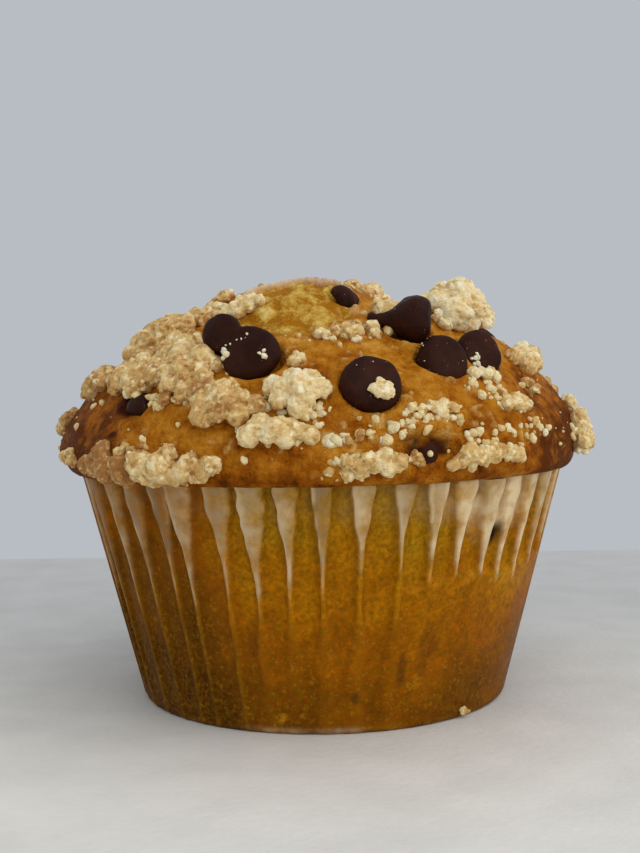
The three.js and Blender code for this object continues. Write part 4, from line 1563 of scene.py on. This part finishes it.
@dataclass
class Streusel:
    """Heaps of baked crumb: nuggets broken into lumps, all covered in small grains."""

    form: DomeForm
    voxel: float = 0.17
    lump_share: tuple[float, float] = (0.36, 0.62)
    lump_spacing: float = 0.8
    lump_sunk: tuple[float, float] = (0.72, 1.1)
    grain_radius: tuple[float, float] = (0.15, 0.38)
    grain_spacing: float = 0.55
    grain_sunk: tuple[float, float] = (0.45, 1.0)
    steepest: float = -0.3
    # How much of a nugget and of a lump stays under the grains, and how many places are toasted at once
    nugget_core: float = 0.84
    lump_core: float = 0.96
    block: int = 3000
    # Crumbs of their own: the one baked onto the front chip and the one at the case's foot
    crumb_nuggets: int = 6
    chip_crumb: Point = (0.5, -2.2, 2.1)
    chip_crumb_size: float = 2.0
    foot_crumb: Point = (17.9, -18.9, 0.95)
    foot_crumb_size: float = 0.95

    def nuggets(self, clump: Clump, seed: int) -> tuple[Array, Array]:
        """The nuggets' middles and sizes, by the part's own rule, with more below where they stand high.

        Args:
            clump: the heap.
            seed: the heap's own number.

        Returns:
            The middles and the radii, in millimetres.
        """
        index = np.arange(clump.count)
        reach = np.sqrt((index + 0.3) / clump.count)
        turn = index * GOLDEN_ANGLE + seed
        ring = max(self.form.radius * math.sin(math.radians(clump.polar)), 6)
        bearing = math.radians(clump.bearing) + reach * clump.across * 0.5 * np.cos(turn) / ring
        polar = math.radians(clump.polar) - reach * clump.uphill * 0.5 * np.sin(turn) / self.form.radius
        chance = evenly(index, seed)
        radii = clump.nugget * (0.85 + 0.3 * chance)
        lift = clump.rise * (1 - reach ** 2) + clump.nugget * (0.1 + 0.25 * chance)
        middles = self.form.crust(bearing, polar, lift)
        high = lift > radii
        below = self.form.crust(bearing[high], polar[high], lift[high] * 0.4)
        return np.concatenate([middles, below]), np.concatenate([radii, radii[high]])

    def on_balls(self, middles: Array, sizes: Array, spacing: float, small: tuple[float, float],
                 sunk: tuple[float, float], out: Array, rng: np.random.Generator) -> tuple[Array, Array]:
        """Spreads smaller balls over bigger ones, where they would show.

        Args:
            middles: the middles of the bigger balls.
            sizes: their radii.
            spacing: about how far apart the smaller ones are.
            small: the least and the greatest radius of a smaller one.
            sunk: the least and the greatest share of its radius that it lies inside the bigger one.
            out: the way out of the crust.
            rng: where the chances come from.

        Returns:
            The middles and radii of the smaller balls.
        """
        counts = (4 * math.pi * sizes ** 2 / spacing ** 2).astype(int) + 1
        owner = np.repeat(np.arange(len(middles)), counts)
        ways = unit(rng.normal(size=(len(owner), 3)))
        radii = rng.uniform(*small, len(owner))
        inside = sizes[owner] - radii * rng.uniform(*sunk, len(owner))
        spots = middles[owner] + ways * inside[:, None]
        apart = np.linalg.norm(spots[:, None] - middles[None], axis=-1) - sizes[None] * 0.7
        shown = (apart > 0).all(1) & (ways @ out > self.steepest)
        return spots[shown], radii[shown]

    def heap(self, clump: Clump, seed: int) -> Shape:
        """One heap in its place on the crust.

        Args:
            clump: the heap.
            seed: the heap's own number.

        Returns:
            The heap's mesh.
        """
        middles, sizes = self.nuggets(clump, seed)
        out = self.form.place(clump.bearing, clump.polar).out
        return self.grown(middles, sizes, out, clump.toast, seed)

    def grown(self, middles: Array, sizes: Array, out: Array, toast: float, seed: int) -> Shape:
        """Nuggets broken into lumps, covered in grains and melted into one rough skin.

        Args:
            middles: the middle of each nugget.
            sizes: the radius of each nugget.
            out: the way out of the crust.
            toast: how toasted all of it is.
            seed: picks the lumps and grains.

        Returns:
            The skin, with its toasting and its painted shade between grains and nuggets.
        """
        rng = np.random.default_rng(seed + 100)
        nugget = float(sizes.mean())
        small = (self.lump_share[0] * nugget, self.lump_share[1] * nugget)
        bodies, body_sizes = self.on_balls(middles, sizes, self.lump_spacing * nugget, small, self.lump_sunk,
                                           out, rng)
        bodies = np.concatenate([bodies, middles])
        body_sizes = np.concatenate([body_sizes, sizes * self.nugget_core])
        centres, radii = self.on_balls(bodies, body_sizes, self.grain_spacing, self.grain_radius,
                                       self.grain_sunk, out, rng)
        solid = lumps(bodies, body_sizes * self.lump_core, rng)
        skin = remeshed(joined([solid, lumps(centres, radii, rng, 1)]), self.voxel)
        coarse, fine = np.abs(noise(skin.points, 1.0, seed)), np.abs(noise(skin.points, 0.5, seed + 1))
        rough = 0.28 * coarse + 0.2 * fine - 0.1
        skin.points = skin.points + skin.normals() * rough[:, None]
        tones = self.toasting(skin.points, (centres, radii), (middles, sizes), rng)
        skin.values = {"toast": tones + toast + 0.42 * noise(skin.points, 2.8, 71)}
        return skin

    def toasting(self, points: Array, grains: tuple[Array, Array], nuggets: tuple[Array, Array],
                 rng: np.random.Generator) -> Array:
        """How toasted each place is by its nearest grain's own tone, with painted shade between grains and
        nuggets.

        Args:
            points: the places of the skin.
            grains: the grains' middles and radii.
            nuggets: the nuggets' middles and radii.
            rng: where the chances come from.

        Returns:
            A value for each place, higher where it is darker.
        """
        (centres, radii), (middles, sizes) = grains, nuggets
        tones = rng.normal(0, 0.1, len(centres)) + 0.24 * (rng.random(len(centres)) < 0.1)
        tones -= 0.36 * (rng.random(len(centres)) < 0.14)
        toast = np.zeros(len(points))
        for start in range(0, len(points), self.block):
            block = points[start:start + self.block]
            apart = np.linalg.norm(block[:, None] - centres[None], axis=-1) - radii[None]
            two = np.partition(apart, min(1, len(centres) - 1), axis=1)[:, :2]
            depth = (np.linalg.norm(block[:, None] - middles[None], axis=-1) / sizes[None]).min(1)
            # Painted shade: darker in the creases between grains and deep between nuggets.
            painted_crease_shade = 0.08 * np.exp(-(two[:, -1] - two[:, 0]) / 0.1) + 0.2 * step(1.0, 0.78, depth)
            toast[start:start + self.block] = tones[apart.argmin(1)] + painted_crease_shade
        return toast

    def crumb(self, middle: Array, right: Array, up: Array, size: float, toast: float, seed: int) -> Shape:
        """One crumb by itself, of a few nuggets round a middle.

        Args:
            middle: the middle of it.
            right: the first direction that it spreads in.
            up: the second one.
            size: its radius in millimetres.
            toast: how toasted it is.
            seed: picks its nuggets, lumps and grains.

        Returns:
            The crumb's mesh.
        """
        index = np.arange(self.crumb_nuggets)
        turn, reach = index * GOLDEN_ANGLE + seed, size * 0.62 * np.sqrt((index + 0.3) / self.crumb_nuggets)
        aside, high = (reach * np.cos(turn))[:, None], (reach * 0.8 * np.sin(turn))[:, None]
        middles = middle + aside * right + high * up
        sizes = size * (0.4 + 0.16 * evenly(index, seed))
        return self.grown(middles, sizes, np.cross(right, up), toast, seed)

    def build(self, finishes: Finishes) -> None:
        """Makes every heap and gives it its finish.

        Args:
            finishes: the four materials.
        """
        for seed, clump in enumerate(CLUMPS, 1):
            piece = self.heap(clump, seed).piece(f"crumble_{clump.name}")
            dress(piece, finishes.streusel, Slot.STREUSEL, f"streusel_{clump.name}")
        small = [self.heap(cluster, seed) for seed, cluster in enumerate(CLUSTERS, 50)]
        place = FRONT_CHIP.place(self.form)
        small.append(self.crumb(place.at(*self.chip_crumb), place.right, place.uphill, self.chip_crumb_size,
                                0.02, 90))
        right, up = np.array([1.0, 0, 0]), np.array([0, 0.3, 0.8])
        small.append(self.crumb(np.array(self.foot_crumb), right, up, self.foot_crumb_size, 0.3, 91))
        dress(joined(small).piece("small_clusters"), finishes.streusel, Slot.STREUSEL)


# Small crumbs


@dataclass(frozen=True)
class CrumbGroup:
    """Loose grains over an oval patch: place in degrees, size, how many, how big and how toasted."""

    bearing: float
    polar: float
    across: float
    uphill: float
    count: int
    radius: float
    toast: float


CRUMB_GROUPS = (
    CrumbGroup(10, 39, 12, 5, 24, 0.45, 0.3),
    CrumbGroup(46, 68, 8, 6, 24, 0.45, 0.25),
    CrumbGroup(24, 73, 9, 5, 26, 0.45, 0.28),
    CrumbGroup(2, 80, 6, 3, 10, 0.6, 0.12),
    CrumbGroup(62, 44, 5, 4, 14, 0.5, 0.3),
    CrumbGroup(-45, 47, 17, 9, 80, 0.58, 0.34),
    CrumbGroup(-66, 50, 10, 8, 40, 0.55, 0.38),
    CrumbGroup(-31, 64, 9, 4, 20, 0.5, 0.4),
    CrumbGroup(-8, 70, 14, 9, 40, 0.48, 0.25),
    CrumbGroup(9, 99, 10, 4.4, 36, 0.5, 0.28),
    CrumbGroup(36, 92, 8, 5, 40, 0.5, 0.25),
    CrumbGroup(-38, 94, 17, 6, 50, 0.5, 0.42),
    CrumbGroup(76, 84, 7, 8, 24, 0.5, 0.35),
    CrumbGroup(15, 79, 8, 6, 14, 0.52, 0.32),
    CrumbGroup(36, 81, 9, 6, 14, 0.5, 0.3),
    CrumbGroup(50, 80, 8, 7, 14, 0.52, 0.36),
    CrumbGroup(38, 62, 9, 6, 11, 0.48, 0.34),
    CrumbGroup(130, 60, 20, 16, 40, 0.5, 0.3),
    CrumbGroup(-150, 48, 20, 16, 40, 0.5, 0.3),
)


@dataclass
class LooseCrumbs:
    """Grains of streusel and sugar scattered over the crust and the chips."""

    form: DomeForm
    scattered: int = 260
    tiny_from: float = 0.3

    def grains(self, rng: np.random.Generator) -> Shape:
        """All the loose grains as one mesh.

        Args:
            rng: where the chances come from.

        Returns:
            The grains, the larger ones first and with finer faces.
        """
        centres, radii, toasts = [], [], []
        for group in CRUMB_GROUPS:
            turn, reach = rng.uniform(0, 2 * math.pi, group.count), np.sqrt(rng.random(group.count))
            ring = max(self.form.radius * math.sin(math.radians(group.polar)), 6)
            bearing = math.radians(group.bearing) + reach * group.across / 2 * np.cos(turn) / ring
            polar = math.radians(group.polar) + reach * group.uphill / 2 * np.sin(turn) / self.form.radius
            size = group.radius * rng.uniform(0.55, 1.3, group.count)
            centres.append(self.form.crust(bearing, polar, size * rng.uniform(-0.25, 0.35, group.count)))
            radii.append(size)
            toasts.append(np.full(group.count, group.toast) + rng.normal(0, 0.12, group.count))
        bearing = rng.uniform(-math.pi, math.pi, self.scattered)
        polar = np.radians(92) * np.sqrt(rng.random(self.scattered))
        size = 0.16 + 0.5 * rng.random(self.scattered) ** 4
        centres.append(self.form.crust(bearing, polar, 0.2 * size))
        radii.append(size)
        toasts.append(0.42 + rng.normal(0, 0.16, self.scattered))
        radii, toasts = np.concatenate(radii), np.concatenate(toasts)
        centres = np.concatenate(centres)
        kinds = []
        for level, chosen in ((2, radii > self.tiny_from), (1, radii <= self.tiny_from)):
            kind = lumps(centres[chosen], radii[chosen], rng, level)
            each = len(kind.points) // chosen.sum()
            bold = np.repeat(np.clip(radii[chosen] / 0.35, 0.8, 2.2), each)
            dents = bold * (0.32 * noise(kind.points, 0.8, 81) + 0.16 * noise(kind.points, 0.4, 82))
            kind.points = kind.points + kind.normals() * dents[:, None]
            kind.values = {"toast": np.repeat(toasts[chosen], each)}
            kinds.append(kind)
        return joined(kinds)

    def build(self, finishes: Finishes) -> None:
        """Makes the grains and gives them their finish."""
        rng = np.random.default_rng(7)
        dress(self.grains(rng).piece("loose_crumbs"), finishes.streusel, Slot.STREUSEL)


# Floor, light and camera


@dataclass
class Studio:
    """A pale floor, soft light from the upper right and the camera."""

    camera_place: Point = (-0.0001, -0.176, 0.045)
    camera_pitch: float = -0.046
    camera_roll: float = -0.015
    lens: float = 52.33
    sensor_width: float = 36
    nearest: float = 0.005
    floor_half: float = 1.5
    floor_end: float = 0.124
    floor_tone: Colour = tone(228, 224, 214)
    floor_back: Colour = tone(192, 190, 186)
    wall_tone: Colour = tone(184, 189, 195)
    seen_strength: float = 1.0
    world_strength: float = 1.26
    key_place: Point = (0.42, -0.44, 0.56)
    key_size: float = 1.4
    key_watts: float = 4.2
    key_aim: Point = (0, 0, 0.03)

    def floor(self) -> bpy.types.Object:
        """A pale paper-covered floor that ends a little way behind the muffin, with painted shade towards the
        back.

        Returns:
            Nothing: the floor is marked as backdrop and not given back.
        """
        mesh = bpy.data.meshes.new("floor")
        wide, back = self.floor_half, self.floor_end
        corners = [(-wide, -wide, 0), (wide, -wide, 0), (wide, back, 0), (-wide, back, 0)]
        mesh.from_pydata(corners, [], [(0, 1, 2, 3)])
        made = bpy.data.objects.new("floor", mesh)
        bpy.context.scene.collection.objects.link(made)
        material, graph = new_graph("pale_floor")
        shade = graph.grey(graph.cloud(graph.noise(9, 2.0, 4), 0.94, 1.05))
        place = graph.node("ShaderNodeTexCoord", {}).outputs["Object"]
        deep = graph.node("ShaderNodeSeparateXYZ", {0: place})
        # Painted shade: the floor darkens from the front towards the back.
        ground = graph.mix(graph.spread(deep.outputs[1], -0.05, 0.06), self.floor_tone, self.floor_back)
        colour = graph.mix(1.0, ground, shade, "MULTIPLY")
        graph.finish(colour, 0.8, graph.noise(1.2, 3.0, 4), 0.12)
        mesh.materials.append(material)
        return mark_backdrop(made)

    def build(self) -> None:
        """Sets the floor, the light round the muffin, the key light and the camera."""
        self.floor()
        scene = bpy.context.scene
        world = bpy.data.worlds.new("studio")
        scene.world = world
        world.use_nodes = True
        graph = Graph(world.node_tree)
        seen = graph.node("ShaderNodeLightPath", {}).outputs["Is Camera Ray"]
        strength = graph.spread(seen, 0, 1, self.world_strength, self.seen_strength)
        sky = graph.node("ShaderNodeBackground", {"Color": (*self.wall_tone, 1), "Strength": strength})
        graph.node("ShaderNodeOutputWorld", {"Surface": sky.outputs[0]})
        key = bpy.data.lights.new("key", "AREA")
        key.shape, key.size, key.energy = "DISK", self.key_size, self.key_watts
        lamp = bpy.data.objects.new("key", key)
        lamp.location = self.key_place
        aim = Vector(self.key_aim) - lamp.location
        lamp.rotation_euler = aim.to_track_quat("-Z", "Y").to_euler()
        scene.collection.objects.link(lamp)
        view = bpy.data.cameras.new("camera")
        view.lens, view.sensor_width, view.clip_start = self.lens, self.sensor_width, self.nearest
        camera = bpy.data.objects.new("camera", view)
        pitch = Matrix.Rotation(math.pi / 2 + self.camera_pitch, 4, "X")
        roll = Matrix.Rotation(self.camera_roll, 4, "Z")
        camera.matrix_world = Matrix.Translation(self.camera_place) @ pitch @ roll
        scene.collection.objects.link(camera)
        scene.camera = camera
        scene.view_settings.view_transform = "Standard"


def main() -> None:
    """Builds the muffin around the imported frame, piece by piece."""
    logging.basicConfig(level=logging.INFO, format="%(name)s %(message)s")
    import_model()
    form = DomeForm()
    finishes = Finishes.made()
    Cake(form).build(finishes)
    PaperCase(form).build(finishes)
    ChocolateChips(form).build(finishes)
    Streusel(form).build(finishes)
    LooseCrumbs(form).build(finishes)
    Studio().build()


if __name__ == "__main__":
    main()
